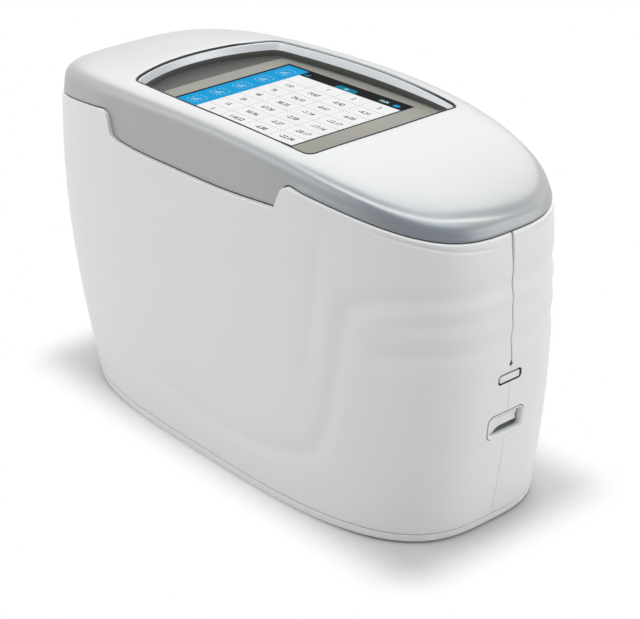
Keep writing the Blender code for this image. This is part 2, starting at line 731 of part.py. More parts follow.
def window_outline(inset):
    """The screen window's outline drawn in by an inset, anticlockwise seen from above."""
    nose, tail = WINDOW_NOSE - inset, WINDOW_TAIL + inset
    half = WINDOW_WIDTH / 2 - inset
    corners = [Vector(place) for place in ((tail, -half), (nose, -half), (nose, half), (tail, half))]
    bows = (WINDOW_SIDE_BOW, WINDOW_NOSE_BOW, WINDOW_SIDE_BOW, WINDOW_TAIL_BOW)
    runs = [bowed_run(a, b, bow) for a, b, bow in zip(corners, corners[1:] + corners[:1], bows)]
    points = []
    for k, run in enumerate(runs):
        points += ease_corner(runs[k - 1][-1], run[0], run[1], WINDOW_CORNER)
        points += run[1:]
    return [tuple(point) for point in points]


def make_screen():
    """Frame, glass, display and bracket, stacked down from the window."""
    outer = window_outline(TOUCH_GAP)
    inner = window_outline(TOUCH_GAP + FRAME_WALL)
    foot = BRACKET_TOP + TOUCH_GAP
    rings = [[(x, y, foot) for x, y in outer],
             [(x, y, crown_at(x, y) - FRAME_DROP) for x, y in outer],
             [(x, y, crown_at(x, y) - FRAME_DROP) for x, y in inner],
             [(x, y, LEDGE_TOP) for x, y in inner]]
    frame = finish_object("screen_frame", skin(rings), SILVER)
    half_x = DISPLAY_LENGTH / 2 + TOUCH_GAP
    half_y = DISPLAY_WIDTH / 2 + TOUCH_GAP
    cut(frame, "display_opening", box((DISPLAY_X - half_x, -half_y, foot - OVERRUN),
                                      (DISPLAY_X + half_x, half_y, GLASS_HEIGHT)))
    cut(frame, "relief", prism(inner, foot - OVERRUN, LEDGE_TOP - LEDGE_THICKNESS))
    glass = window_outline(FRAME_WALL + 2 * TOUCH_GAP)
    finish_object("touch_glass", prism(glass, GLASS_BOTTOM, GLASS_HEIGHT), GLASS)
    display = box((DISPLAY_X - DISPLAY_LENGTH / 2, -DISPLAY_WIDTH / 2, DISPLAY_BOTTOM),
                  (DISPLAY_X + DISPLAY_LENGTH / 2, DISPLAY_WIDTH / 2, LEDGE_TOP))
    finish_object("display_module", display, SCREEN)
    bracket = finish_object("display_bracket", prism(bracket_outline(), BRACKET_BOTTOM, BRACKET_TOP), STEEL)
    cut(bracket, "cable_slot",
        box((CABLE_SLOT_X - CABLE_SLOT_LENGTH / 2, -CABLE_SLOT_WIDTH / 2, BRACKET_BOTTOM - OVERRUN),
            (CABLE_SLOT_X + CABLE_SLOT_LENGTH / 2, CABLE_SLOT_WIDTH / 2, BRACKET_TOP + OVERRUN)))
    for k, (x, y) in enumerate(bracket_post_places()):
        depth = crown_at(x, y) - COVER_WALL - COVER_WALL / 2 - BRACKET_BOTTOM - BRACKET_THICKNESS
        grip = min(BRACKET_THICKNESS, BRACKET_THICKNESS + depth - SCREW_BITE - 2 * TOUCH_GAP)
        join(bracket, f"screw_{k}", screw(x, y, BRACKET_BOTTOM, grip, gap=0))


def bracket_outline():
    """A plate as long as the window, with a narrower ear at each end for the screws."""
    half, ear = BRACKET_WIDTH / 2, BRACKET_EAR_WIDTH / 2
    tail, nose = BRACKET_POST_TAIL_X - BRACKET_EAR_END, BRACKET_POST_NOSE_X + BRACKET_EAR_END
    lower = [(tail, -ear), (WINDOW_TAIL, -ear), (WINDOW_TAIL, -half), (WINDOW_NOSE, -half),
             (WINDOW_NOSE, -ear), (nose, -ear)]
    return lower + [(x, -y) for x, y in reversed(lower)]


def make_base():
    """The base plate with its locating lip and its holes, its pads and the screws of the housing."""
    lip_out = SHELL_WALL + TOUCH_GAP
    lip_in = lip_out + LIP_THICKNESS
    lip_top = BASE_TOP + LIP_HEIGHT
    rings = [wall_ring(level(PAD_STANDOFF), BASE_CHAMFER),
             wall_ring(level(PAD_STANDOFF + BASE_CHAMFER), 0),
             wall_ring(level(BASE_TOP), 0),
             wall_ring(level(BASE_TOP), lip_out),
             wall_ring(level(lip_top), lip_out),
             wall_ring(level(lip_top), lip_in),
             wall_ring(level(BASE_TOP), lip_in)]
    plate = finish_object("base_plate", skin(rings), WHITE)
    cut(plate, "aperture", rod(RING_BODY_RADIUS + TOUCH_GAP, -OVERRUN, lip_top + OVERRUN, (APERTURE_X, 0, 0),
                               sides=APERTURE_SIDES))
    screws = case_screw_places(-1) + case_screw_places(1)
    for k, (x, y) in enumerate(screws):
        cut(plate, f"lug_pocket_{k}", rod(LUG_RADIUS + TOUCH_GAP, BASE_TOP - TOUCH_GAP, lip_top + OVERRUN,
                                          (x, y, 0), sides=ROUND_SIDES))
        cut(plate, f"screw_hole_{k}", screw_hole(x, y, -OVERRUN, lip_top + OVERRUN))
        cut(plate, f"head_hole_{k}", screw_hole(x, y, -OVERRUN, SCREW_SEAT, SCREW_HEAD_RADIUS))
        finish_object(f"case_screw_{k + 1}", screw(x, y, SCREW_SEAT, BASE_TOP - SCREW_SEAT), STEEL)
    for k, (x, y) in enumerate(pin_places()):
        cut(plate, f"pin_hole_{k}", rod(PIN_RADIUS + TOUCH_GAP, -OVERRUN, lip_top, (x, y, 0)))
    places = [(x, y) for x in (-PAD_X, PAD_X) for y in (-PAD_Y, PAD_Y)]
    for k, place in enumerate(places):
        pocket = rounded_rectangle(PAD_LENGTH / 2 + TOUCH_GAP, PAD_WIDTH / 2 + TOUCH_GAP,
                                   PAD_WIDTH / 2 + TOUCH_GAP, place)
        cut(plate, f"pad_pocket_{k}", prism(pocket, -OVERRUN, PAD_THICKNESS + TOUCH_GAP))
        pad = rounded_rectangle(PAD_LENGTH / 2, PAD_WIDTH / 2, PAD_WIDTH / 2, place)
        finish_object(f"foot_pad_{k + 1}", prism(pad, 0, PAD_THICKNESS), RUBBER)


def pin_places():
    return [(APERTURE_X, PIN_CIRCLE_Y), (APERTURE_X - PIN_SPREAD_X, -PIN_CIRCLE_Y),
            (APERTURE_X + PIN_SPREAD_X, -PIN_CIRCLE_Y)]


def make_aperture_ring():
    low = PAD_STANDOFF / 2
    top = FLOOR + RING_FLANGE_THICKNESS
    profile = [(APERTURE_RADIUS, low), (RING_BODY_RADIUS - BASE_CHAMFER, low),
               (RING_BODY_RADIUS, low + BASE_CHAMFER), (RING_BODY_RADIUS, FLOOR), (RING_FLANGE_RADIUS, FLOOR),
               (RING_FLANGE_RADIUS, top), (APERTURE_RADIUS + APERTURE_FLARE, top)]
    ring = turned(profile, (APERTURE_X, 0, 0), sides=APERTURE_SIDES, hollow=True)
    finish_object("aperture_ring", ring, RUBBER)


def channel_axis(angle_deg):
    angle = math.radians(angle_deg)
    return Vector((math.sin(angle), 0, math.cos(angle)))


def dome_profile(radius, foot, spring_height):
    """A straight foot with a quarter round above it."""
    quarter = [math.radians(90 * k / DOME_STEPS) for k in range(DOME_STEPS)]
    round_part = [(radius * math.cos(a), spring_height + radius * math.sin(a)) for a in quarter]
    return [(radius, foot)] + round_part + [(radius * DOME_TIP_SHARE, spring_height + radius)]


def stepped_bore(channel_radius, tube_radius, centre, axis, sides):
    """A channel from the chamber outwards that widens into the seat of a tube."""
    seat_radius = tube_radius + TOUCH_GAP
    profile = [(channel_radius, CHAMBER_RADIUS - OVERRUN), (channel_radius, SEAT_START),
               (seat_radius, SEAT_START), (seat_radius, FAN_RADIUS + OVERRUN)]
    return turned(profile, centre, axis, sides)


def make_optics():
    """The optics block, its receivers and the lamp that lights the aperture from one side."""
    centre = (APERTURE_X, 0, 0)
    spring_height = FLOOR + RING_FLANGE_THICKNESS + TOUCH_GAP
    sweep = math.acos(FLOOR / FAN_RADIUS)
    fan = [(APERTURE_X + FAN_RADIUS * math.sin(a), FAN_RADIUS * math.cos(a))
           for a in np.linspace(-sweep, sweep, 2 * ROUND_SIDES + 1)]
    block = finish_object("optics_block", along_y(fan, -FAN_THICKNESS / 2, FAN_THICKNESS / 2), BLACK)
    join(block, "dome", turned(dome_profile(CHAMBER_RADIUS + CHAMBER_WALL, FLOOR, spring_height), centre,
                               sides=APERTURE_SIDES))
    cut(block, "chamber", turned(dome_profile(CHAMBER_RADIUS, FLOOR - OVERRUN, spring_height), centre,
                                 sides=APERTURE_SIDES))
    start = SEAT_START + TOUCH_GAP
    for name, angle in RECEIVER_ANGLES.items():
        axis = channel_axis(angle)
        bore = stepped_bore(CHANNEL_RADIUS, RECEIVER_RADIUS, centre, axis, SMALL_SIDES)
        cut(block, f"channel_{name}", bore)
        profile = [(RECEIVER_BORE, RECEIVER_END - RECEIVER_FLOOR), (RECEIVER_BORE, start),
                   (RECEIVER_RADIUS, start), (RECEIVER_RADIUS, RECEIVER_END)]
        finish_object(f"receiver_{name}", turned(profile, centre, axis), ALUMINIUM)
    axis = channel_axis(LAMP_ANGLE)
    cut(block, "channel_lamp", stepped_bore(LAMP_BORE, LAMP_RADIUS, centre, axis, ROUND_SIDES))
    profile = [(LAMP_BORE, start), (LAMP_RADIUS, start), (LAMP_RADIUS, LAMP_END), (LAMP_BORE, LAMP_END)]
    finish_object("lamp_tube", turned(profile, centre, axis, ROUND_SIDES, hollow=True), ALUMINIUM)
    lens_radius = LAMP_BORE - TOUCH_GAP
    profile = [(lens_radius / 4, start), (lens_radius, start + LAMP_LENS_THICKNESS / 2),
               (lens_radius, start + LAMP_LENS_THICKNESS)]
    finish_object("lamp_lens", turned(profile, centre, axis, ROUND_SIDES), LENS)
    foot = LAMP_END + TOUCH_GAP
    board = rod(LAMP_BOARD_RADIUS, foot, foot + SMALL_BOARD_THICKNESS, centre, axis)
    finish_object("lamp_board", board, BOARD)


def make_pins():
    """Three sprung pins that feel the measured surface, each in a guide on the base plate."""
    guide_top = FLOOR + GUIDE_HEIGHT
    lid = guide_top - GUIDE_WALL
    inner = GUIDE_RADIUS - GUIDE_WALL
    hole = PIN_RADIUS + TOUCH_GAP
    tip = PIN_STANDOFF
    top = guide_top + PIN_TAIL
    collar = FLOOR + PIN_COLLAR_HEIGHT
    for number, (x, y) in enumerate(pin_places(), start=1):
        profile = [(PIN_RADIUS / 2, tip), (PIN_RADIUS, tip + PIN_RADIUS / 2), (PIN_RADIUS, FLOOR),
                   (PIN_COLLAR_RADIUS, FLOOR), (PIN_COLLAR_RADIUS, collar), (PIN_RADIUS, collar),
                   (PIN_RADIUS, top)]
        finish_object(f"contact_pin_{number}", turned(profile, (x, y, 0)), STEEL, pivot=(x, y, FLOOR))
        profile = [(GUIDE_RADIUS, FLOOR), (GUIDE_RADIUS, guide_top), (hole, guide_top), (hole, lid),
                   (inner, lid), (inner, FLOOR)]
        finish_object(f"pin_guide_{number}", turned(profile, (x, y, 0), hollow=True), BLACK)
        make_spring(f"contact_spring_{number}", (x, y, collar + TOUCH_GAP), lid - TOUCH_GAP,
                    (PIN_RADIUS + inner) / 2)


def make_spring(name, foot, top, radius):
    """A coil of round wire between its pin's collar and the lid of the guide."""
    count = SPRING_TURNS * COIL_SIDES
    curve = bpy.data.curves.new(name, "CURVE")
    curve.dimensions = "3D"
    curve.bevel_depth = SPRING_WIRE / 2
    curve.bevel_resolution = 0
    curve.use_fill_caps = True
    spline = curve.splines.new("POLY")
    spline.points.add(count)
    rise = top - foot[2] - SPRING_WIRE
    for k in range(count + 1):
        turn = 2 * math.pi * k / COIL_SIDES
        height = SPRING_WIRE / 2 + rise * k / count
        spline.points[k].co = (radius * math.cos(turn), radius * math.sin(turn), height, 1)
    curve.materials.append(STEEL)
    item = bpy.data.objects.new(name, curve)
    item.location = foot
    bpy.context.collection.objects.link(item)


def board_post_places():
    half_x = MAIN_BOARD_LENGTH / 2 - BOARD_POST_INSET
    half_y = MAIN_BOARD_WIDTH / 2 - BOARD_POST_INSET
    return [(MAIN_BOARD_X + sx * half_x, sy * half_y) for sx in (-1, 1) for sy in (-1, 1)]


def make_chassis():
    """The chassis: a plate on four legs, with posts for the main board and an upright tab at each end."""
    half_length = (CHASSIS_NOSE - CHASSIS_TAIL) / 2
    outline = rounded_rectangle(half_length, CHASSIS_WIDTH / 2, CHASSIS_CORNER,
                                ((CHASSIS_NOSE + CHASSIS_TAIL) / 2, 0))
    chassis = finish_object("chassis", prism(outline, CHASSIS_HEIGHT, CHASSIS_TOP), ALUMINIUM)
    half_tab = END_TAB_WIDTH / 2
    tail_tab_top = KEY_HEIGHT + KEY_BOARD_TALLNESS / 2
    join(chassis, "tail_tab", box((CHASSIS_TAIL, -half_tab, CHASSIS_HEIGHT),
                                  (CHASSIS_TAIL + CHASSIS_THICKNESS, half_tab, tail_tab_top)))
    join(chassis, "nose_tab", box((CHASSIS_NOSE - CHASSIS_THICKNESS, -half_tab, PORT_BOARD_FOOT),
                                  (CHASSIS_NOSE, half_tab, PORT_BOARD_TOP)))
    legs = [(x, y) for x in (CHASSIS_TAIL + LEG_FROM_TAIL, CHASSIS_NOSE - LEG_FROM_NOSE)
            for y in (-LEG_Y, LEG_Y)]
    for k, (x, y) in enumerate(legs):
        join(chassis, f"leg_{k}", rod(LEG_RADIUS, FLOOR, CHASSIS_HEIGHT + CHASSIS_THICKNESS / 2, (x, y, 0)))
    for k, (x, y) in enumerate(board_post_places()):
        join(chassis, f"post_{k}", rod(BOARD_POST_RADIUS, CHASSIS_HEIGHT + CHASSIS_THICKNESS / 2,
                                       CHASSIS_TOP + BOARD_POST_HEIGHT, (x, y, 0)))
        cut(chassis, f"post_hole_{k}", screw_hole(x, y, CHASSIS_HEIGHT - OVERRUN, BOARD_TOP))


def make_electronics():
    """Main board with its screws and parts, the battery under its strap and the display's flat cable."""
    outline = rounded_rectangle(MAIN_BOARD_LENGTH / 2, MAIN_BOARD_WIDTH / 2, BOARD_POST_RADIUS,
                                (MAIN_BOARD_X, 0))
    board = finish_object("main_board", prism(outline, BOARD_BOTTOM, BOARD_TOP), BOARD)
    for k, (x, y) in enumerate(board_post_places()):
        join(board, f"screw_{k}", screw(x, y, BOARD_TOP, MAIN_BOARD_THICKNESS, gap=0, up=False))
    seat = BOARD_TOP + TOUCH_GAP
    shield_x = MAIN_BOARD_X - SHIELD_BEHIND_MIDDLE
    shield = box((shield_x - SHIELD_LENGTH / 2, -SHIELD_WIDTH / 2, seat),
                 (shield_x + SHIELD_LENGTH / 2, SHIELD_WIDTH / 2, seat + SHIELD_HEIGHT))
    finish_object("shield_can", shield, STEEL)
    buzzer_x = BOARD_TAIL + BUZZER_FROM_TAIL
    buzzer = rod(BUZZER_RADIUS, seat, seat + BUZZER_HEIGHT, (buzzer_x, 0, 0), sides=ROUND_SIDES)
    finish_object("buzzer", buzzer, BLACK)
    half_length, half_width = CABLE_SOCKET_LENGTH / 2, CABLE_SOCKET_WIDTH / 2
    socket = box((CABLE_SOCKET_X - half_length, -half_width, seat),
                 (CABLE_SOCKET_X + half_length, half_width, seat + CABLE_SOCKET_HEIGHT))
    finish_object("cable_socket", socket, BLACK)
    low = CHASSIS_TOP + TOUCH_GAP
    top = low + BATTERY_HEIGHT
    outline = rounded_rectangle(BATTERY_WIDTH / 2, BATTERY_HEIGHT / 2, BATTERY_EDGE, (0, (low + top) / 2))
    half_length = BATTERY_LENGTH / 2
    finish_object("battery", along_x(outline, BATTERY_X - half_length, BATTERY_X + half_length), CELL)
    half = BATTERY_WIDTH / 2 + TOUCH_GAP
    foot = half + STRAP_THICKNESS
    roof = top + TOUCH_GAP
    strap = [(-foot, low), (-half, low), (-half, roof), (half, roof), (half, low), (foot, low),
             (foot, roof + STRAP_THICKNESS), (-foot, roof + STRAP_THICKNESS)]
    half_length = STRAP_LENGTH / 2
    finish_object("battery_strap", along_x(strap, BATTERY_X - half_length, BATTERY_X + half_length), STEEL)
    make_cable(seat + CABLE_SOCKET_HEIGHT / 2)


def make_cable(socket_height):
    """The display's flat cable: out of the display, down through the bracket's slot, into its socket."""
    start = DISPLAY_X + DISPLAY_LENGTH / 2 + TOUCH_GAP
    height = (LEDGE_TOP + DISPLAY_BOTTOM) / 2
    line = [Vector((start, height)), Vector((CABLE_SLOT_X, height)), Vector((CABLE_SLOT_X, socket_height)),
            Vector((CABLE_SOCKET_X - CABLE_SOCKET_LENGTH / 2 - TOUCH_GAP, socket_height))]
    middle = ease_line(line, CABLE_BEND)
    left, right = [], []
    for k, point in enumerate(middle):
        run = middle[min(k + 1, len(middle) - 1)] - middle[max(k - 1, 0)]
        side = Vector((-run.y, run.x)).normalized() * CABLE_THICKNESS / 2
        left.append(tuple(point + side))
        right.append(tuple(point - side))
    finish_object("display_cable", along_y(left + right[::-1], -CABLE_WIDTH / 2, CABLE_WIDTH / 2), CABLE)


def tail_ring(outline, inset):
    """An outline in Y and Z laid on the tail wall, sunk by an inset."""
    return [(wall_x(y, z, inset, ahead=False), y, z) for y, z in outline]


def make_measure_key():
    """The measure key in the tail, its switch and the board that carries the switch."""
    under = SHELL_WALL + TOUCH_GAP
    rings = [tail_ring(key_outline(-KEY_PROUD), -KEY_PROUD), tail_ring(key_outline(0), 0),
             tail_ring(key_outline(0), under), tail_ring(key_outline(KEY_FLANGE), under),
             tail_ring(key_outline(KEY_FLANGE), under + KEY_FLANGE_THICKNESS)]
    back = wall_x(0, KEY_HEIGHT, under + KEY_FLANGE_THICKNESS, ahead=False)
    pivot = (back, 0, KEY_HEIGHT)
    key = finish_object("measure_key", skin(rings), KEY_GREY, pivot=pivot)
    stem_end = back + KEY_STEM_LENGTH
    stem = rod(KEY_STEM_RADIUS, back - KEY_FLANGE_THICKNESS, stem_end, (0, 0, KEY_HEIGHT), (1, 0, 0))
    join(key, "stem", stem)
    board_x = CHASSIS_TAIL - TOUCH_GAP - SMALL_BOARD_THICKNESS
    half_y, half_z = KEY_BOARD_WIDTH / 2, KEY_BOARD_TALLNESS / 2
    finish_object("key_board", box((board_x, -half_y, KEY_HEIGHT - half_z),
                                   (board_x + SMALL_BOARD_THICKNESS, half_y, KEY_HEIGHT + half_z)), BOARD)
    side = KEY_SWITCH_SIDE / 2
    switch_x = board_x - TOUCH_GAP
    switch = finish_object("measure_switch", box((switch_x - KEY_SWITCH_HEIGHT, -side, KEY_HEIGHT - side),
                                                 (switch_x, side, KEY_HEIGHT + side)), BLACK)
    join(switch, "nub", rod(KEY_STEM_RADIUS - TOUCH_GAP, stem_end + KEY_TRAVEL + TOUCH_GAP,
                            switch_x - KEY_SWITCH_HEIGHT / 2, (0, 0, KEY_HEIGHT), (1, 0, 0)))


def make_ports():
    """Port board with the charging socket, the port cover and the reset switch."""
    board_x = CHASSIS_NOSE + TOUCH_GAP
    board_front = board_x + SMALL_BOARD_THICKNESS
    seat = board_front + TOUCH_GAP
    finish_object("port_board", box((board_x, -PORT_BOARD_WIDTH / 2, PORT_BOARD_FOOT),
                                    (board_front, PORT_BOARD_WIDTH / 2, PORT_BOARD_TOP)), BOARD)
    mouth = wall_x(0, PORT_HEIGHT) - PORT_COVER_RECESS
    finish_object("port_cover", along_x(port_outline(-TOUCH_GAP), mouth - PORT_COVER_THICKNESS, mouth), WHITE,
                  pivot=(mouth, TOUCH_GAP - PORT_WIDTH / 2, PORT_HEIGHT))
    front = wall_x(0, PORT_HEIGHT, SHELL_WALL) - TOUCH_GAP
    deep = front - SOCKET_DEPTH
    corner = SOCKET_TALLNESS / 2 - TOUCH_GAP
    outer = rounded_rectangle(SOCKET_WIDTH / 2, SOCKET_TALLNESS / 2, corner, (0, PORT_HEIGHT))
    inner = rounded_rectangle(SOCKET_WIDTH / 2 - SOCKET_WALL, SOCKET_TALLNESS / 2 - SOCKET_WALL,
                              corner - SOCKET_WALL, (0, PORT_HEIGHT))
    rings = [[(seat, y, z) for y, z in outer], [(front, y, z) for y, z in outer],
             [(front, y, z) for y, z in inner], [(deep, y, z) for y, z in inner]]
    socket = finish_object("charging_socket", skin(rings), STEEL)
    join(socket, "tongue", box((deep - SOCKET_WALL, -TONGUE_WIDTH / 2, PORT_HEIGHT - TONGUE_THICKNESS / 2),
                               (deep + TONGUE_LENGTH, TONGUE_WIDTH / 2, PORT_HEIGHT + TONGUE_THICKNESS / 2)))
    tip = wall_x(0, PINHOLE_HEIGHT, SHELL_WALL) - TOUCH_GAP
    switch_front = tip - PLUNGER_LENGTH - RESET_TRAVEL - TOUCH_GAP
    half = RESET_SWITCH_SIDE / 2
    finish_object("reset_switch", box((seat, -half, PINHOLE_HEIGHT - half),
                                      (switch_front, half, PINHOLE_HEIGHT + half)), BLACK)
    plunger = rod(PLUNGER_RADIUS, tip - PLUNGER_LENGTH, tip, (0, 0, PINHOLE_HEIGHT), (1, 0, 0))
    finish_object("reset_plunger", plunger, STEEL, pivot=(tip - PLUNGER_LENGTH, 0, PINHOLE_HEIGHT))
    make_rocker(seat)


def make_rocker(seat):
    """The bezel that lines the recess, the power rocker that tilts in it and the switch behind it."""
    face = wall_x(0, RECESS_HEIGHT)
    back = face - BEZEL_DEPTH
    outer, inner = recess_outline(0), recess_outline(-BEZEL_WALL)
    rings = [[(back, y, z) for y, z in outer],
             [(wall_x(y, z, TOUCH_GAP), y, z) for y, z in outer],
             [(wall_x(y, z, BEZEL_WALL), y, z) for y, z in inner],
             [(back + BEZEL_WALL, y, z) for y, z in inner]]
    bezel = finish_object("rocker_bezel", skin(rings), WHITE)
    pivot = Vector((face - ROCKER_PIVOT_DEPTH, 0, RECESS_HEIGHT))
    reach = RECESS_WIDTH / 2 + OVERRUN
    cut(bezel, "pin_holes", rod(ROCKER_PIN_RADIUS + TOUCH_GAP, -reach, reach, pivot, (0, 1, 0), HOLE_SIDES))
    half = ROCKER_TALLNESS / 2
    front = 2 * ROCKER_THICKNESS
    profile = [(-ROCKER_HUB_RADIUS, 0), (0, -ROCKER_HUB_RADIUS), (ROCKER_THICKNESS, -half), (front, -half),
               (ROCKER_THICKNESS + ROCKER_HUB_RADIUS, 0), (front, half), (ROCKER_THICKNESS, half),
               (0, ROCKER_HUB_RADIUS)]
    tilt = math.radians(ROCKER_TILT_DEG)
    outline = [(pivot.x + x * math.cos(tilt) + z * math.sin(tilt),
                pivot.z + z * math.cos(tilt) - x * math.sin(tilt)) for x, z in profile]
    rocker = finish_object("power_rocker", along_y(outline, -ROCKER_WIDTH / 2, ROCKER_WIDTH / 2), WHITE,
                           pivot=pivot)
    reach = ROCKER_WIDTH / 2 + ROCKER_PIN_LENGTH
    join(rocker, "pins", rod(ROCKER_PIN_RADIUS, -reach, reach, pivot, (0, 1, 0), HOLE_SIDES))
    half_y = RECESS_WIDTH / 2 - BEZEL_WALL
    half_z = RECESS_TALLNESS / 2 - BEZEL_WALL
    finish_object("power_switch", box((seat, -half_y, RECESS_HEIGHT - half_z),
                                      (back - TOUCH_GAP, half_y, RECESS_HEIGHT + half_z)), BLACK)


def make_cover_screws():
    """The screws that pull the cover's studs down onto the tabs of the shells."""
    for k, (x, y) in enumerate(stud_places()):
        finish_object(f"cover_screw_{k + 1}", screw(x, y, TAB_HEIGHT, TAB_THICKNESS), STEEL)


def centre_model():
    """Move everything along X so that the origin lies below the middle of the whole length."""
    bpy.context.view_layer.update()
    ends = []
    for item in bpy.context.scene.objects:
        if not item.hide_render:
            ends += [(item.matrix_world @ Vector(corner)).x for corner in item.bound_box]
    middle = (min(ends) + max(ends)) / 2
    for item in bpy.context.scene.objects:
        item.location.x -= middle


make_shell("left_shell", -1)
make_shell("right_shell", 1)
make_cover()
make_screen()
make_base()
make_aperture_ring()
make_optics()
make_pins()
make_chassis()
make_electronics()
make_measure_key()
make_ports()
make_cover_screws()
centre_model()
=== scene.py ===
import math

import bmesh
import bpy
import numpy as np
from mathutils import Matrix, Vector


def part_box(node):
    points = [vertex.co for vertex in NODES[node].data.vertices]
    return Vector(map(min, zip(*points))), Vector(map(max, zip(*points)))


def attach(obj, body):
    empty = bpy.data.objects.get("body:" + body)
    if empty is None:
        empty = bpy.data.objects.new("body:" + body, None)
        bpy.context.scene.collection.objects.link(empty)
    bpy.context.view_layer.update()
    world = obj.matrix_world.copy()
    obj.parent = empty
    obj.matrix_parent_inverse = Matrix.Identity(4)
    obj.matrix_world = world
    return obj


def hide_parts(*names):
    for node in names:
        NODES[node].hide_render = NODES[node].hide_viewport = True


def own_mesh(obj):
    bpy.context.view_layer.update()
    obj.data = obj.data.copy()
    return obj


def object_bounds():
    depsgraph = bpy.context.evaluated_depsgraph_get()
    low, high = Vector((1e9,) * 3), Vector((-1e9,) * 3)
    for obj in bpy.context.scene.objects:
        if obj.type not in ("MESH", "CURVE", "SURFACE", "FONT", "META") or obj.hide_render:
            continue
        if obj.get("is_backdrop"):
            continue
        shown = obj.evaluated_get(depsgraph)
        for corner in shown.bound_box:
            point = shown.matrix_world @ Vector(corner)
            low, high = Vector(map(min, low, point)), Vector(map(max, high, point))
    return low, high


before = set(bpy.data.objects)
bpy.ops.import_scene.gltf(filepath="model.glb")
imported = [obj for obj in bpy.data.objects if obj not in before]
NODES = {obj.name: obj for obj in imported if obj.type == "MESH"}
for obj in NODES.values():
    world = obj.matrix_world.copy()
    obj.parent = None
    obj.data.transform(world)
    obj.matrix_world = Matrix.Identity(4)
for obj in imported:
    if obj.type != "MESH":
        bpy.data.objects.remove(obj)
CAD_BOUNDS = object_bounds()
MM = 0.001

# %% [markdown]
# ## Sizes that several pieces share
# Lengths are millimetres here, and x is counted from the middle of the joint between the white shells and
# the silver cover. `MIDDLE` is how far that middle lies from the frame's origin, read off the display.
# %% Shared sizes
DISPLAY_X = 1.4
low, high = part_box("display_module")
MIDDLE = (low.x + high.x) / 2 / MM - DISPLAY_X
HALF_LENGTH, HALF_WIDTH, PARTING = 111.0, 44.4, 124.9
NOSE_DROP, TAIL_DROP = 13.4, 11.2
NOSE_RAKE, TAIL_RAKE = 10.4, 13.4
NOSE_BULGE, TAIL_BULGE = 4.3, 10.3
BASE_HALF, WAIST = 45.5, 0.6
NOSE_POWER, TAIL_POWER = 3.10, 3.55
FLOOR, BASE_TOP, PAD_STANDOFF = 4.0, 3.7, 0.6
GLASS_HEIGHT = 126.9
print("middle of the joint lies at x =", round(MIDDLE, 3), "mm")

# %% [markdown]
# ## The camera
# The photograph looks down on the instrument from its nose end, about 25 degrees above the bench and 52
# degrees round from the long side. A real camera is never quite level, so it rolls by two and a half degrees.
# %% Camera
AZIMUTH, ELEVATION, ROLL = math.radians(52.1876), math.radians(24.8703), math.radians(2.5907)
DISTANCE, TARGET_HEIGHT = 0.66718, 0.0555
FOCAL_PIXELS, CENTRE = 1809.51, (296.92, 286.11)
PHOTO = (640, 619)
SENSOR = 36.0

back = Vector((math.sin(AZIMUTH) * math.cos(ELEVATION), -math.cos(AZIMUTH) * math.cos(ELEVATION),
               math.sin(ELEVATION)))
level = Vector((math.cos(AZIMUTH), math.sin(AZIMUTH), 0.0))
upright = back.cross(level)
right = level * math.cos(ROLL) - upright * math.sin(ROLL)
up = level * math.sin(ROLL) + upright * math.cos(ROLL)
camera_data = bpy.data.cameras.new("camera")
camera_data.sensor_width = SENSOR
camera_data.lens = FOCAL_PIXELS * SENSOR / PHOTO[0]
camera_data.shift_x = (PHOTO[0] / 2 - CENTRE[0]) / PHOTO[0]
camera_data.shift_y = (CENTRE[1] - PHOTO[1] / 2) / PHOTO[0]
camera_data.clip_start = 0.01
camera = bpy.data.objects.new("camera", camera_data)
place = Vector((MIDDLE * MM, 0, TARGET_HEIGHT)) + back * DISTANCE
camera.matrix_world = Matrix.Translation(place) @ Matrix((right, up, back)).transposed().to_4x4()
bpy.context.scene.collection.objects.link(camera)
bpy.context.scene.camera = camera
print("lens", round(camera_data.lens, 1), "mm, camera at", [round(v, 3) for v in place])

# %% [markdown]
# ## Short ways to make objects and nodes
# A finish in Blender is a tree of nodes whose sockets are linked. These functions make an object, or a node
# with its inputs set or linked, in one line, so that each tree below reads like a drawing of itself.
# %% Node helpers
def placed(name, data):
    """A new object, linked into the scene."""
    item = bpy.data.objects.new(name, data)
    bpy.context.scene.collection.objects.link(item)
    return item


def fill(tree, made, **inputs):
    """Set or link inputs of a node, by name or, after an underscore, by number."""
    for key, value in inputs.items():
        socket = made.inputs[int(key[1:]) if key[0] == "_" else key.replace("_", " ")]
        if isinstance(value, bpy.types.NodeSocket):
            tree.links.new(value, socket)
        else:
            socket.default_value = value
    return made


def node(tree, kind, **inputs):
    return fill(tree, tree.nodes.new(kind), **inputs)


def combined(tree, operation, *values, kind="ShaderNodeMath"):
    """A math node on one or two values, each a constant or another node's output."""
    made = tree.nodes.new(kind)
    made.operation = operation
    return fill(tree, made, **{"_" + str(place): value for place, value in enumerate(values)})


def mixed(tree, share, first, second, blend="MIX"):
    """The colour that a mix of two colours gives."""
    made = tree.nodes.new("ShaderNodeMix")
    made.data_type, made.blend_type = "RGBA", blend
    return fill(tree, made, _0=share, _6=first, _7=second).outputs[2]


def new_material(name):
    material = bpy.data.materials.new(name)
    material.use_nodes = True
    return material, material.node_tree, material.node_tree.nodes["Principled BSDF"]


print("finishes so far", len(bpy.data.materials))

# %% [markdown]
# ## The stage
# A pale floor catches a soft shadow. The floor is shown white to the camera and to glossy rays by a light
# path switch, which fades to the real, shaded floor near the instrument, so that its shadow stays. That floor
# is grey, so a band round the instrument is darker than the white beyond: painted shade on top of the real
# shadow. Large softboxes light it from above, from the near side, from the nose and from the rear, as in a photo
# studio.
# %% Stage
# The floor's grey, seen only near the instrument, is painted shade round it; further out the floor shows white.
FLOOR_SIDE, FLOOR_GREY_PAINTED_SHADE, FLOOR_ROUGHNESS, SKY_STRENGTH = 6.0, 0.6, 0.9, 0.3
SHADE_BOX = (0.100, 0.033, 0.0)
SHADE_NEAR, SHADE_FAR = 0.001, 0.026
FULL = (1, 1, 1, 1)
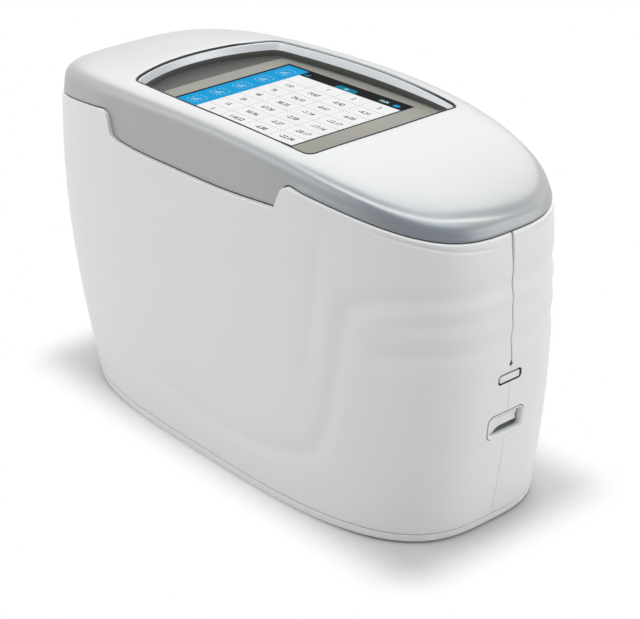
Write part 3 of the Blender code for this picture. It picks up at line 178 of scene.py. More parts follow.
# Each lamp's name, its place, the point it faces, its width and height, and its power.
SOFTBOXES = (("top_softbox", (0.1, 0.0, 1.2), (0, 0, 0.1), (1.0, 1.0), 8.0),
             ("side_softbox", (-0.6, -1.0, 0.6), (0, 0, 0.06), (1.0, 1.0), 5.1),
             ("nose_softbox", (1.1, 0.6, 0.42), (0, 0, 0.04), (1.0, 0.8), 5.4),
             ("rear_softbox", (-0.65, 0.6, 0.85), (0, 0, 0.12), (1.3, 0.9), 7.0))


def white_to_camera(tree, surface, output, mask=None):
    """Show plain white to camera, glossy and transmitted rays, where the mask allows it."""
    path = node(tree, "ShaderNodeLightPath").outputs
    share = combined(tree, "MAXIMUM", path["Is Camera Ray"], path["Is Glossy Ray"]).outputs[0]
    share = combined(tree, "MAXIMUM", share, path["Is Transmission Ray"]).outputs[0]
    if mask:
        share = combined(tree, "MULTIPLY", share, mask).outputs[0]
    glare = node(tree, "ShaderNodeEmission" if mask else "ShaderNodeBackground", Color=FULL, Strength=1.0)
    mix = node(tree, "ShaderNodeMixShader", _0=share, _1=surface, _2=glare.outputs[0])
    fill(tree, tree.nodes[output], Surface=mix.outputs[0])


half = FLOOR_SIDE / 2
floor_mesh = bpy.data.meshes.new("floor")
floor_mesh.from_pydata([(-half, -half, 0), (half, -half, 0), (half, half, 0), (-half, half, 0)], [],
                       [(0, 1, 2, 3)])
floor = placed("floor", floor_mesh)
paper, tree, shader = new_material("floor_paper")
fill(tree, shader, Base_Color=(FLOOR_GREY_PAINTED_SHADE, FLOOR_GREY_PAINTED_SHADE, FLOOR_GREY_PAINTED_SHADE, 1), Roughness=FLOOR_ROUGHNESS)
away = node(tree, "ShaderNodeTexCoord").outputs["Object"]
for operation, *value in (("ABSOLUTE",), ("SUBTRACT", SHADE_BOX), ("MAXIMUM", (0, 0, 0)), ("LENGTH",)):
    beyond = combined(tree, operation, away, *value, kind="ShaderNodeVectorMath")
    away = beyond.outputs[0]
fade = node(tree, "ShaderNodeMapRange", Value=beyond.outputs["Value"], From_Min=SHADE_NEAR, From_Max=SHADE_FAR)
fade.interpolation_type = "SMOOTHSTEP"
white_to_camera(tree, shader.outputs[0], "Material Output", fade.outputs["Result"])
floor_mesh.materials.append(paper)
floor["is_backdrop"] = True

world = bpy.data.worlds.new("studio")
bpy.context.scene.world = world
world.use_nodes = True
sky = fill(world.node_tree, world.node_tree.nodes["Background"], Color=FULL, Strength=SKY_STRENGTH)
white_to_camera(world.node_tree, sky.outputs[0], "World Output")
bpy.context.scene.view_settings.view_transform = "Standard"

for name, place, target, (width, height), power in SOFTBOXES:
    data = bpy.data.lights.new(name, "AREA")
    data.shape = "RECTANGLE"
    data.size, data.size_y, data.energy = width, height, power
    lamp = placed(name, data)
    lamp.location = place
    lamp.visible_camera = False
    lamp.rotation_euler = (Vector(target) - Vector(place)).to_track_quat("-Z", "Y").to_euler()
print("lamps", len(SOFTBOXES))

# %% [markdown]
# ## Finishes
# Every finish is a Principled shader with a little noise: moulded plastic has a fine grain and slow changes
# of gloss, paint has a sparkle of flakes. The patterns read Object coordinates, in metres, so their scales
# are large numbers.
# %% Finishes
MOTTLE_SIZE, MOTTLE_DETAIL, GLOSS_VARY = 25, 3.0, 0.1
GRAIN_DETAIL, GRAIN_STRENGTH = 2.0, 0.25
# Facing range over which the painted reflection gives way to the lighter glancing colour.
PAINTED_REFLECTION_FACING = (0.08, 0.42)


def finish(name, colour, roughness, metallic=0.0, grain=0.0, grain_size=0.6, vary=0.03, painted_reflection_glancing=None, **extra):
    """A finish with mottled colour and gloss and a fine grain; grain is a bump height in millimetres.

    A glancing colour takes over where the surface is seen at a low angle; where it is seen face-on the darker base
    colour stays, a painted reflection of dark surroundings.
    """
    material, tree, shader = new_material(name)
    where = node(tree, "ShaderNodeTexCoord").outputs["Object"]
    slow = node(tree, "ShaderNodeTexNoise", Vector=where, Scale=1 / (MOTTLE_SIZE * MM),
                Detail=MOTTLE_DETAIL).outputs["Fac"]
    shade = node(tree, "ShaderNodeMapRange", Value=slow, To_Min=1 - vary, To_Max=1 + vary)
    paint = (*colour, 1)
    # Painted reflection: the colour darkens where the surface faces the viewer, not because of any lamp.
    if painted_reflection_glancing:
        angle = node(tree, "ShaderNodeLayerWeight", Blend=0.5).outputs["Facing"]
        share = node(tree, "ShaderNodeMapRange", Value=angle, From_Min=PAINTED_REFLECTION_FACING[0], From_Max=PAINTED_REFLECTION_FACING[1])
        paint = mixed(tree, share.outputs["Result"], paint, (*painted_reflection_glancing, 1))
    paint = mixed(tree, 1.0, paint, shade.outputs["Result"], "MULTIPLY")
    gloss = node(tree, "ShaderNodeMapRange", Value=slow, To_Min=roughness * (1 - GLOSS_VARY),
                 To_Max=min(1.0, roughness * (1 + GLOSS_VARY)))
    fill(tree, shader, Base_Color=paint, Roughness=gloss.outputs["Result"], Metallic=metallic, **extra)
    if grain:
        fine = node(tree, "ShaderNodeTexNoise", Vector=where, Scale=1 / (grain_size * MM), Detail=GRAIN_DETAIL)
        bump = node(tree, "ShaderNodeBump", Height=fine.outputs["Fac"], Strength=GRAIN_STRENGTH,
                    Distance=grain * MM)
        fill(tree, shader, Normal=bump.outputs["Normal"])
    return material


WHITE = finish("moulded_white", (0.85, 0.86, 0.865), 0.42, grain=0.02, vary=0.01)
# The silver's dark bluish base colour is a painted reflection of dark surroundings, seen where the cover faces the
# viewer; the glancing colour is lighter.
SILVER = finish("silver_flake_paint", (0.20, 0.225, 0.25), 0.4, metallic=0.4, grain=0.02, grain_size=0.35,
                vary=0.015, painted_reflection_glancing=(0.42, 0.43, 0.43))
LINING = finish("polished_lining", (0.60, 0.62, 0.64), 0.42, metallic=0.4, grain=0.01, vary=0.02)
BEZEL = finish("printed_glass", (0.25, 0.245, 0.215), 0.5, grain=0.01, vary=0.02, Specular_IOR_Level=0.15)
BORDER = finish("dark_print", (0.07, 0.072, 0.066), 0.5, grain=0.01, vary=0.02, Specular_IOR_Level=0.1)
RUBBER = finish("soft_rubber", (0.04, 0.04, 0.042), 0.7, grain=0.05, vary=0.1)
BLACK = finish("grained_black", (0.03, 0.03, 0.03), 0.45, grain=0.03, vary=0.08)
STEEL = finish("turned_steel", (0.6, 0.6, 0.6), 0.28, metallic=1.0, grain=0.01, vary=0.04)
ALUMINIUM = finish("anodised_grey", (0.42, 0.43, 0.44), 0.38, metallic=1.0, grain=0.02, vary=0.04)
BOARD = finish("green_laminate", (0.02, 0.16, 0.07), 0.45, grain=0.03, vary=0.15)
CELL = finish("blue_wrap", (0.05, 0.14, 0.36), 0.4, vary=0.06)
FILM = finish("amber_film", (0.6, 0.32, 0.08), 0.35, vary=0.05)
KEY_GREY = finish("key_plastic", (0.36, 0.38, 0.39), 0.42, grain=0.02, vary=0.02)
LENS = finish("clear_lens", (0.75, 0.85, 0.88), 0.03, vary=0.01, Transmission_Weight=1.0)
print("finishes", len(bpy.data.materials))

# %% [markdown]
# ## Lit parts of the screen
# A display gives off its own light, so its colours are emission over a nearly black base without gloss. A
# wave pattern dims them by a few per cent in rows as fine as the pixels.
# %% Screen finishes
PIXEL, ROW_DIM, SCREEN_GLOW = 0.22, 0.96, 0.9
PIXEL_ROWS = 2 * math.pi / 20 / (PIXEL * MM)


def glow(name, colour):
    """A lit part of the screen, in a given colour."""
    material, tree, shader = new_material(name)
    where = node(tree, "ShaderNodeTexCoord").outputs["Object"]
    rows = node(tree, "ShaderNodeTexWave", Vector=where, Scale=PIXEL_ROWS).outputs["Fac"]
    dimmed = node(tree, "ShaderNodeMapRange", Value=rows, To_Min=ROW_DIM).outputs["Result"]
    fill(tree, shader, Emission_Color=mixed(tree, 1.0, (*colour, 1), dimmed, "MULTIPLY"),
         Emission_Strength=SCREEN_GLOW, Base_Color=(0.01, 0.01, 0.01, 1), Roughness=0.3, Specular_IOR_Level=0.0)
    return material


PAGE = glow("page_white", (1.0, 1.0, 1.0))
STRIP = glow("strip_blue", (0.007, 0.38, 0.77))
BAR = glow("bar_black", (0.012, 0.012, 0.013))
TAB = glow("tab_teal", (0.0, 0.22, 0.36))
DIGITS = glow("digit_black", (0.015, 0.015, 0.02))
RULES = glow("rule_grey", (0.30, 0.31, 0.33))
ICONS = glow("icon_pale", (0.55, 0.82, 0.95))
print("screen rows to the centimetre", round(10 / PIXEL))

# %% [markdown]
# ## The outline of the housing
# Seen from above the housing is a superellipse, longer and blunter at the tail. It grows from the base to
# the joint with the cover. These few lines give every outer surface below, so the pieces always meet.
# %% Outline helpers
SETTLE = 12


def parting_height(x):
    """Height of the joint between shells and cover, away from the notch."""
    return PARTING - np.where(x > 0, NOSE_DROP, TAIL_DROP) * (x / HALF_LENGTH) ** 2


def outline_size(rise, ahead, inset):
    """Reach, half width and power of the outline at a height given as a share of the joint's height."""
    belly = 4 * rise * (1 - rise)
    reach = HALF_LENGTH - np.where(ahead, NOSE_RAKE, TAIL_RAKE) * (1 - rise)
    reach = reach + np.where(ahead, NOSE_BULGE, TAIL_BULGE) * belly - inset
    half_width = BASE_HALF + (HALF_WIDTH - BASE_HALF) * rise - WAIST * belly - inset
    return reach, half_width, np.where(ahead, NOSE_POWER, TAIL_POWER)


def outline_point(turn, rise, inset=0.0):
    """The outline's x and y at a turn, at a share of the joint's height."""
    cosine, sine = np.cos(turn), np.sin(turn)
    reach, half_width, power = outline_size(rise, cosine >= 0, inset)
    return (reach * np.sign(cosine) * np.abs(cosine) ** (2 / power),
            half_width * np.sign(sine) * np.abs(sine) ** (2 / power))


def wall(turn, height_at, inset=0.0):
    """Points of the wall at turns round the outline; height_at gives z for x."""
    x = np.zeros(np.broadcast(turn, inset).shape)
    for _ in range(SETTLE):
        z = height_at(x)
        x, y = outline_point(turn, z / parting_height(x), inset)
    return np.stack([x, y, z + 0 * x], -1)


def wall_x(y, z, inset=0.0, ahead=True):
    """Where the nose or tail wall lies at a y and z."""
    x = np.zeros(np.broadcast(y, z).shape)
    for _ in range(SETTLE):
        reach, half_width, power = outline_size(z / parting_height(x), ahead, inset)
        x = reach * (1 - np.minimum(np.abs(y) / half_width, 1) ** power) ** (1 / power)
        x = x if ahead else -x
    return x


def even_turns(steps, bend_share=0.5):
    """Turns over half the outline, evenly spaced and closer where it bends."""
    fine = np.linspace(0, math.pi, 4001)
    x, y = outline_point(fine, 0.5)
    runs = np.hypot(np.diff(x), np.diff(y))
    bends = np.append(np.abs(np.diff(np.unwrap(np.arctan2(np.diff(y), np.diff(x))))), 0)
    along = np.insert(np.cumsum(runs / runs.sum() + bend_share * bends / bends.sum()), 0, 0)
    return np.interp(np.linspace(0, along[-1], steps + 1), along, fine)


def turn_at(x):
    """The turn at which the outline passes a given x, near the joint with the cover."""
    power = NOSE_POWER if x > 0 else TAIL_POWER
    return math.acos(math.copysign((abs(x) / HALF_LENGTH) ** (power / 2), x))


print("joint height at nose, middle, tail", [round(float(parting_height(np.array(v))), 1) for v in (111, 0, -111)])

# %% [markdown]
# ## Meshes from loops
# Most pieces are swept or revolved, so their points form a grid: loops one after another. One helper turns
# such a grid into a closed body, merges the points that coincide and marks the sharp edges. A hole is cut by
# a Boolean modifier, whose result is kept as a plain mesh.
# %% Mesh helpers
MERGE = 0.000002


def piece_from_mesh(name, mesh, material, body, sharp=35.0, replaces=()):
    """A visible piece that rides on a body, and stands in for the solids that it replaces."""
    mesh.materials.clear()
    mesh.materials.append(material)
    mesh.shade_smooth()
    mesh.set_sharp_from_angle(angle=math.radians(sharp))
    piece = placed(name, mesh)
    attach(piece, body)
    if replaces:
        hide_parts(*replaces)
    return piece


def body_of_loops(name, loops, ring=False):
    """A mesh from closed loops of points in millimetres; capped at the ends unless it is a ring."""
    loops = np.asarray(loops, float)
    count, size = loops.shape[:2]
    points = loops.reshape(-1, 3).copy()
    points[:, 0] += MIDDLE
    faces = []
    for a in range(count if ring else count - 1):
        b = (a + 1) % count
        for i in range(size):
            j = (i + 1) % size
            faces.append((a * size + i, a * size + j, b * size + j, b * size + i))
    if not ring:
        faces.append(tuple(range(size)))
        faces.append(tuple((count - 1) * size + i for i in range(size)))
    mesh = bpy.data.meshes.new(name)
    mesh.from_pydata((points * MM).tolist(), [], faces)
    tidy(mesh)
    return mesh


def tidy(mesh, distance=MERGE):
    """Merge points that coincide, drop what collapses and turn all faces outwards."""
    bm = bmesh.new()
    bm.from_mesh(mesh)
    bmesh.ops.remove_doubles(bm, verts=bm.verts, dist=distance)
    bmesh.ops.dissolve_degenerate(bm, edges=bm.edges, dist=distance)
    bmesh.ops.recalc_face_normals(bm, faces=bm.faces)
    bm.to_mesh(mesh)
    bm.free()
    mesh.update()


def joined(name, meshes):
    """Several closed bodies in one mesh."""
    bm = bmesh.new()
    for mesh in meshes:
        bm.from_mesh(mesh)
    whole = bpy.data.meshes.new(name)
    bm.to_mesh(whole)
    bm.free()
    return whole


def plain_mesh(item):
    """The mesh of an object after its modifiers."""
    bpy.context.view_layer.update()
    return bpy.data.meshes.new_from_object(item.evaluated_get(bpy.context.evaluated_depsgraph_get()))


def boolean(target, cutter):
    """Cut a mesh with another."""
    tool, holder = placed("tool", cutter), placed("holder", target)
    modifier = holder.modifiers.new("cut", "BOOLEAN")
    modifier.operation, modifier.solver, modifier.object = "DIFFERENCE", "EXACT", tool
    result = plain_mesh(holder)
    for item in (tool, holder):
        bpy.data.objects.remove(item)
    return result


def at_x(outline, x):
    """An outline in y and z, stood up at an x."""
    return np.column_stack([np.full(len(outline), float(x)), outline])


def at_z(outline, z):
    """An outline in x and y, laid at a height."""
    return np.column_stack([outline, np.full(len(outline), float(z))])


def turned(name, profile, centre, axis="z", sides=48, ring=False):
    """A body turned on an axis; the profile lists radius and place along the axis."""
    a = np.linspace(0, 2 * math.pi, sides, endpoint=False)
    loops = []
    for radius, along in profile:
        u, v, w = radius * np.cos(a), radius * np.sin(a), np.full(sides, float(along))
        loop = {"z": (u, v, w), "x": (w, u, v), "y": (v, w, u)}[axis]
        loops.append(np.column_stack(loop) + np.array(centre, float))
    return body_of_loops(name, loops, ring)


def quarter_round(steps, first=0.0):
    """Steps round a quarter circle: how far outwards is still to go, and how far along it has gone."""
    return [(1 - math.sin(a), 1 - math.cos(a)) for a in np.linspace(first, math.pi / 2, steps)]


def eased(points, radii, steps=6):
    """A line with its corners rounded by quadratic curves that start a radius away from each corner."""
    points = [np.array(p, float) for p in points]
    line = [points[0]]
    for before, corner, after, radius in zip(points, points[1:], points[2:], radii):
        start = corner + (before - corner) / np.linalg.norm(before - corner) * radius
        end = corner + (after - corner) / np.linalg.norm(after - corner) * radius
        for t in np.linspace(0, 1, steps + 1):
            line.append(start * (1 - t) ** 2 + corner * 2 * t * (1 - t) + end * t ** 2)
    line.append(points[-1])
    return np.array(line)


print("points of a quarter round", len(quarter_round(5)))

# %% [markdown]
# ## The joint between shells and cover
# From the side the joint is a gentle arc with a shallow notch in its middle, which the cover's skirt fills.
# The skirt's ends lean and its corners are rounded as in the photograph.
# %% Split line
SPLIT_GAP, NOTCH_REACH, LINE_REACH = 0.5, 58, 60
tail_end, tail_top, nose_top, nose_end = [(x, float(parting_height(np.array(x))))
                                          for x in (-80.0, -54.0, 51.2, 80.0)]
notch = [tail_end, tail_top, (-51.7, 120.6), (-50.2, 113.5), (-47.8, 112.0), (-35.0, 111.1), (15.0, 111.1),
         (44.9, 112.8), (48.6, 120.2), nose_top, nose_end]
notch_line = eased(notch, (2.0, 1.2, 1.6, 2.0, 8.0, 12.0, 0.3, 1.2, 1.4))
notch_line = notch_line[np.abs(notch_line[:, 0]) < LINE_REACH]


def split_height(x, gap=0.0):
    """Height of the cover's lower edge; the shells end a gap below it."""
    x = np.asarray(x, float)
    base = parting_height(x)
    lowered = np.minimum(np.interp(x, notch_line[:, 0], notch_line[:, 1]), base)
    return np.where(np.abs(x) < NOTCH_REACH, lowered, base) - gap


print("skirt reaches down to", round(float(split_height(0.0)), 1), "mm")

# %% [markdown]
# ## The two side shells
# Each shell is a thin moulding. Its outer wall follows the outline and sinks a little along soft valleys
# that catch the light. The valleys are lines in the side view with a depth at each point; a wall point
# sinks by the depth of the nearest line, faded like a bell curve.
# %% Soft valleys
VALLEYS = [
    ([(118, 94, .65), (104, 93.6, .65), (94.6, 92, .65), (84.8, 90, .65), (78, 87, .65), (75.2, 81.5, .65),
      (72.7, 70, .6), (70.1, 58, .6), (66.5, 42, .6), (62.5, 31, .6), (57.5, 26, .6), (49.8, 22.6, .6),
      (36, 20.5, .6), (17, 19, .55), (-7, 19, .5), (-28, 21.8, .4), (-47, 24.6, .25), (-60, 27, .0)], 3.4),
    ([(118, 74, .6), (100, 73.4, .6), (94, 72, .6), (87.6, 71, .5), (84.7, 66, .0)], 3.4),
    ([(118, 85, .4), (104, 84.6, .4), (97, 83.4, .3), (90, 81, .0)], 3.0),
    ([(66, 118, .0), (65.3, 107, .35), (64.2, 97.3, .45), (61.2, 79.8, .5), (58.6, 64.3, .45), (55, 53, .3),
      (50.8, 45, .0)], 3.2),
    ([(-76, 90, .0), (-74.9, 77, .2), (-72.9, 64, .25), (-70.2, 48, .2), (-66, 36, .0)], 3.0),
    ([(84, 115.2, .0), (88.8, 114.0, .35), (94, 113.2, .5), (98.7, 112.3, .6), (102.8, 111.2, .6),
      (106.3, 110.1, .6), (108.8, 109.3, .45), (110.5, 108.4, .25), (111.1, 107.5, .0)], 0.42),
]


def smooth_line(points, steps=8):
    """More points along a line, on a curve that passes through the given ones."""
    p = np.array(points, float)
    p = np.vstack([2 * p[0] - p[1], p, 2 * p[-1] - p[-2]])
    line = []
    for k in range(1, len(p) - 2):
        for t in np.arange(steps) / steps:
            line.append(0.5 * (2 * p[k] + (p[k + 1] - p[k - 1]) * t
                               + (2 * p[k - 1] - 5 * p[k] + 4 * p[k + 1] - p[k + 2]) * t ** 2
                               + (3 * p[k] - p[k - 1] - 3 * p[k + 1] + p[k + 2]) * t ** 3))
    line.append(p[-2])
    return np.array(line)


def valley_depth(x, z):
    """How far the wall sinks at points of the side view."""
    total = np.zeros(x.shape)
    for points, width in VALLEYS:
        line = smooth_line(points)
        nearest = np.full(x.shape, 1e9)
        depth = np.zeros(x.shape)
        for a, b in zip(line, line[1:]):
            run = b[:2] - a[:2]
            t = np.clip(((x - a[0]) * run[0] + (z - a[1]) * run[1]) / run.dot(run), 0, 1)
            away = np.hypot(x - a[0] - t * run[0], z - a[1] - t * run[1])
            closer = away < nearest
            nearest = np.where(closer, away, nearest)
            depth = np.where(closer, a[2] + t * (b[2] - a[2]), depth)
        total = np.maximum(total, depth * np.exp(-(nearest / width) ** 2))
    return total


print("valley lines", len(VALLEYS))

# %% [markdown]
# ## Openings in the shells
# At the nose the charging port, the reset pinhole and the power recess lie one above the other on the seam.
# The measure key has its hole in the tail. Their outlines are drawn once here, for the holes and for the
# parts that fill them. Each outline can grow, for clearances, or shrink, for rounded edges. A hole's edge is
# rounded by its cutter, which flares outwards like the bell of a horn.
# %% Outlines of the openings
PORT_Z, PORT_HALF, PORT_TALL, PORT_CORNER, FLAP_THICKNESS = 60.2, 5.1, 1.8, 1.2, 1.2
PORT_GROW = 0.15
RECESS_Z, RECESS_HALF, RECESS_TALL, RECESS_CORNER, RECESS_DEPTH, LINER_WALL = 42.4, 8.2, 4.7, 2.4, 8.2, 1.0
PINHOLE_Z, PINHOLE_R = 65.1, 0.7
KEY_Z, KEY_LONG, KEY_TALL = 92.0, 10.5, 6.5
GAP, NAIL_GAP = 0.3, 0.9
CUTTER_REACH, CUTTER_DEPTH, CUTTER_START = 0.6, 4.0, 0.25


def rounded(half_long, half_wide, radius, centre=(0.0, 0.0), steps=8):
    """A rectangle with rounded corners, anticlockwise; the radius may differ from corner to corner."""
    radii = np.clip(np.broadcast_to(radius, 4), 0.01, min(half_long, half_wide))
    points = []
    for k, (right, top, r) in enumerate(zip((1, -1, -1, 1), (1, 1, -1, -1), radii)):
        for a in np.radians(90 * k + np.linspace(0, 90, steps + 1)):
            points.append((centre[0] + right * (half_long - r) + r * math.cos(a),
                           centre[1] + top * (half_wide - r) + r * math.sin(a)))
    return np.array(points)


def opening(half_long, half_tall, corner, z, steps=8):
    """An outline on the middle plane that can grow."""
    return lambda grow: rounded(half_long + grow, half_tall + grow, corner + grow, (0, z), steps)


port_outline = opening(PORT_HALF, PORT_TALL, PORT_CORNER, PORT_Z)
recess_outline = opening(RECESS_HALF, RECESS_TALL, RECESS_CORNER, RECESS_Z)
key_outline = opening(KEY_LONG, KEY_TALL, KEY_TALL, KEY_Z, 16)
pinhole_outline = opening(PINHOLE_R, PINHOLE_R, PINHOLE_R, PINHOLE_Z)


def on_wall(outline, depth, ahead=True):
    """An outline in y and z laid on the nose or tail wall, sunk by a depth."""
    return np.column_stack([wall_x(outline[:, 0], outline[:, 1], depth, ahead), outline])


def wall_loops(outline, steps):
    """Loops on the nose wall, from how much the outline grows and how deep it lies at each step."""
    return [on_wall(outline(grow), depth) for grow, depth in steps]


def flared_cutter(outline, grow, flare, ahead=True):
    """A cutter for a hole in the wall whose outer edge is rounded."""
    loops = [on_wall(outline(grow + flare + 0.1), -CUTTER_REACH, ahead)]
    loops += [on_wall(outline(grow + flare * out), flare * deep, ahead)
              for out, deep in quarter_round(5, CUTTER_START)]
    loops.append(on_wall(outline(grow), CUTTER_DEPTH, ahead))
    return body_of_loops("cutter", loops)


print("openings", [len(o(0)) for o in (port_outline, recess_outline, pinhole_outline, key_outline)])

# %% [markdown]
# ## Moulding the shells
# Seen from its end a shell is a long hook: up the outer wall, over a rounded rim and down inside. That
# profile is laid at many turns round half the housing. At the nose and the tail the columns meet the other
# shell on the middle plane, where the edges are rounded and leave a seam: a hairline in the lower half, and
# a wider line above the pinhole. The openings are cut last.
# %% Shells
SHELL_WALL, SHELL_FOOT, SHELL_CHAMFER, RIM_RADIUS = 2.4, 0.3, 0.3, 0.25
SEAM_HALF, SEAM_FINE, SEAM_TOP, SEAM_RADIUS, SEAM_FINE_ROUND = 0.18, 0.05, 0.27, 0.35, 0.3
SEAM_WIDENS, SEAM_WIDENING = 97, 9
SEAM_LEAD, SEAM_FADE = 1.0, 1.5
ROWS, RIM_FROM, RIM_TO, RIM_STEP = 100, 0.963, 0.995, 0.0025
INNER_ROWS = (0.94, 0.86, 0.75, 0.6, 0.4, 0.2, 0.0)
MIDDLE_STRIP, COLUMN_STEP, END_SETTLE = 3.2, 0.25, 10
# Distance from the seam's edge, and the share of the rounding there.
SEAM_STEPS = [(0.0, 1.0), (0.03, 0.6), (0.1, 0.3), (0.2, 0.1), (0.35, 0.0), (0.7, 0), (1.3, 0), (2.2, 0)]


def above_pinhole(z):
    """0 along the hairline and 1 above the pinhole."""
    return np.clip((z - PINHOLE_Z + SEAM_LEAD) / SEAM_FADE, 0, 1)


def seam_half(z):
    """Half the width of the seam: a hairline below the pinhole, wider in its top few millimetres."""
    t = np.clip((z - SEAM_WIDENS) / SEAM_WIDENING, 0, 1)
    return SEAM_FINE + (SEAM_HALF - SEAM_FINE) * above_pinhole(z) + SEAM_TOP * t * t * (3 - 2 * t)


def seam_round(z):
    """How far the shells' edges are rounded off at the seam."""
    return SEAM_RADIUS * (SEAM_FINE_ROUND + (1 - SEAM_FINE_ROUND) * above_pinhole(z))


def thinned(turns, rise, step):
    """Turns without those that follow the one before at less than a step along the outline."""
    keep = [turns[0]]
    for turn in turns[1:]:
        a, b = outline_point(np.array([keep[-1], turn]), rise)
        if math.hypot(a[1] - a[0], b[1] - b[0]) > step:
            keep.append(turn)
    return keep


def notch_turns(tail):
    """Close turns at both ends of the notch."""
    return [turn_at(x) for x in (*np.arange(tail, -46, 0.4), *np.arange(42, 54, 0.4))]


def shell_turns():
    """Columns round half the housing, closer at both ends of the notch."""
    turns = np.array(sorted([*even_turns(190), *notch_turns(-55)]))
    return np.array(thinned(turns[outline_point(turns, 0.9)[1] > MIDDLE_STRIP], 0.9, COLUMN_STEP))


def shell_profile():
    """Share of the height, lift above it, inset from the outer wall, and whether valleys sink it."""
    profile = [(0.0, SHELL_FOOT * up, SHELL_FOOT * out, 1) for out, up in quarter_round(5)[:-1]]
    shares = sorted([*np.linspace(0, 0.96, ROWS), *np.arange(RIM_FROM, RIM_TO, RIM_STEP), 1.0])
    profile += [(s, SHELL_FOOT * (1 - s), 0.0, 1) for s in shares]
    profile += [(1.0, RIM_RADIUS * math.sin(a), RIM_RADIUS * (1 - math.cos(a)), 1)
                for a in np.linspace(0, math.pi / 2, 5)[1:]]
    profile += [(1.0, RIM_RADIUS, SHELL_WALL - SHELL_CHAMFER, 0), (1.0, RIM_RADIUS - SHELL_CHAMFER, SHELL_WALL, 0)]
    profile += [(s, 0.0, SHELL_WALL, 0) for s in INNER_ROWS]
    return (np.array(values) for values in zip(*profile))


def shell_mesh(name, side):
    share, lift, inset, sinks = shell_profile()

    def height(x):
        return FLOOR + share * (split_height(x, SPLIT_GAP) - RIM_RADIUS - FLOOR) + lift

    def end_column(away, drop, ahead):
        """A column near the middle plane, at a distance from the seam's edge."""
        x = np.full(share.shape, HALF_LENGTH if ahead else -HALF_LENGTH)
        for _ in range(END_SETTLE):
            z = height(x)
            y = seam_half(z) + away
            x = wall_x(y, z, 0.0, ahead)
        depth = inset + sinks * (valley_depth(x, z) + seam_round(z) * drop)
        for _ in range(END_SETTLE):
            z = height(x)
            x = wall_x(y, z, depth, ahead)
        return np.stack([x, y, z], -1)

    loops = [end_column(*step, True) for step in SEAM_STEPS]
    for turn in shell_turns():
        smooth = wall(turn, height, 0 * inset)
        loops.append(wall(turn, height, inset + sinks * valley_depth(smooth[:, 0], smooth[:, 2])))
    loops += [end_column(*step, False) for step in reversed(SEAM_STEPS)]
    return body_of_loops(name, np.array(loops) * (1, side, 1))


cutters = [flared_cutter(port_outline, PORT_GROW, 0.25), flared_cutter(recess_outline, 0.05, 0.2),
           flared_cutter(pinhole_outline, 0.0, 0.2), flared_cutter(key_outline, GAP, 0.4, False)]
for name, side in (("left_shell", -1), ("right_shell", 1)):
    mesh = shell_mesh(name, side)
    for cutter in cutters:
        mesh = boolean(mesh, cutter)
    piece_from_mesh(name + "_moulded", mesh, WHITE, "housing", 40, (name,))
    print(name, "faces", len(mesh.polygons))

# %% [markdown]
# ## The silver cover's surface
# The cover is a crown over the shells, with a skirt on each side. From its lower edge it rises steeply, rolls
# over a shoulder and flattens towards the screen window. Round the nose a crease runs along the shoulder,
# nearer the edge on one side than on the other. At nose and tail the lower edge leans out to the shells.
# %% Cover surface
COVER_INSET, COVER_WALL, CROWN = 1.5, 2.2, 8.56
TAIL_RISE, NOSE_STEP, STEP_START, STEP_LENGTH = 7.4, 1.8, 74.8, 55.7
SIDE_POWER, END_POWER = 5.75, 4.71
CREASE_DEPTH, CREASE_WIDTH, CREASE_START, CREASE_FADE = 0.5, 1.35, 48, 30
CREASE_Y = (-32, -26, -21, -17, -13, -8, -3, 3, 10, 22)
CREASE_INSET = (3.6, 3.95, 4.35, 4.55, 4.3, 3.5, 2.6, 1.9, 1.6, 1.6)
NOSE_FLARE, TAIL_FLARE, FLARE_START, FLARE_FADE = (0.9, 5.0), (1.1, 13.0), 52, 8


def edge_share(x, y, inset=COVER_INSET):
    """Where a point lies between the middle (0) and the cover's edge (1), and how far it lies endwise."""
    reach, half_width, power = outline_size(1.0, x >= 0, inset)
    along, across = np.abs(x) / reach, np.abs(y) / half_width
    share = np.maximum((along ** power + across ** power) ** (1 / power), 1e-9)
    return share, (along / share) ** power


def shoulder_power(endwise):
    """How sharply the shoulder rolls over: sharper along the sides than at the ends."""
    return SIDE_POWER * (1 - endwise) + END_POWER * endwise


def crown_height(x, y, inset=COVER_INSET, height=CROWN, creased=True):
    """Height of the cover over a point, or of its inner side for a larger inset and a smaller height."""
    share, endwise = edge_share(x, y, inset)
    behind = np.maximum(-x, 0) / HALF_LENGTH
    step = np.clip((x - STEP_START) / STEP_LENGTH, 0, 1)
    top = height + TAIL_RISE * behind ** 2 - NOSE_STEP * step * step * (3 - 2 * step)
    power = shoulder_power(endwise)
    z = parting_height(x) + top * np.maximum(0, 1 - share ** power) ** (1 / power)
    if creased:
        from_edge = (1 - share) / share * np.hypot(x, y)
        fade = np.clip((x - CREASE_START) / CREASE_FADE, 0, 1)
        inward = np.interp(y, CREASE_Y, CREASE_INSET)
        z = z - CREASE_DEPTH * fade * np.exp(-((from_edge - inward) / CREASE_WIDTH) ** 2)
    return z


def flare(x, above):
    """How far the cover leans out to meet the shells at a height above the joint; in the notch it doesn't."""
    ends = np.clip((np.abs(x) - FLARE_START) / FLARE_FADE, 0, 1)
    reach, tall = (np.where(x > 0, *pair) for pair in zip(NOSE_FLARE, TAIL_FLARE))
    return reach * ends * ends * (3 - 2 * ends) * np.clip(1 - above / tall, 0, 1) ** 2


print("cover's highest point over the axis", round(float(crown_height(np.array(-60.0), np.array(0.0))), 1), "mm")

# %% [markdown]
# ## The window's outline
# The screen window has four bowed sides, the one at the tail bowed most, and small round corners. It is drawn
# as a function of an inset, so that the frame, the trim, the glass and the printed border all follow it.
# %% Screen window outline
WINDOW_NOSE, WINDOW_TAIL, WINDOW_HALF = 52.0, -47.5, 33.0
SIDE_BOW, NOSE_BOW, TAIL_BOW, WINDOW_CORNER = 2.2, 0.6, 9.7, 3.6
SIDE_STEPS, CORNER_STEPS = 36, 8


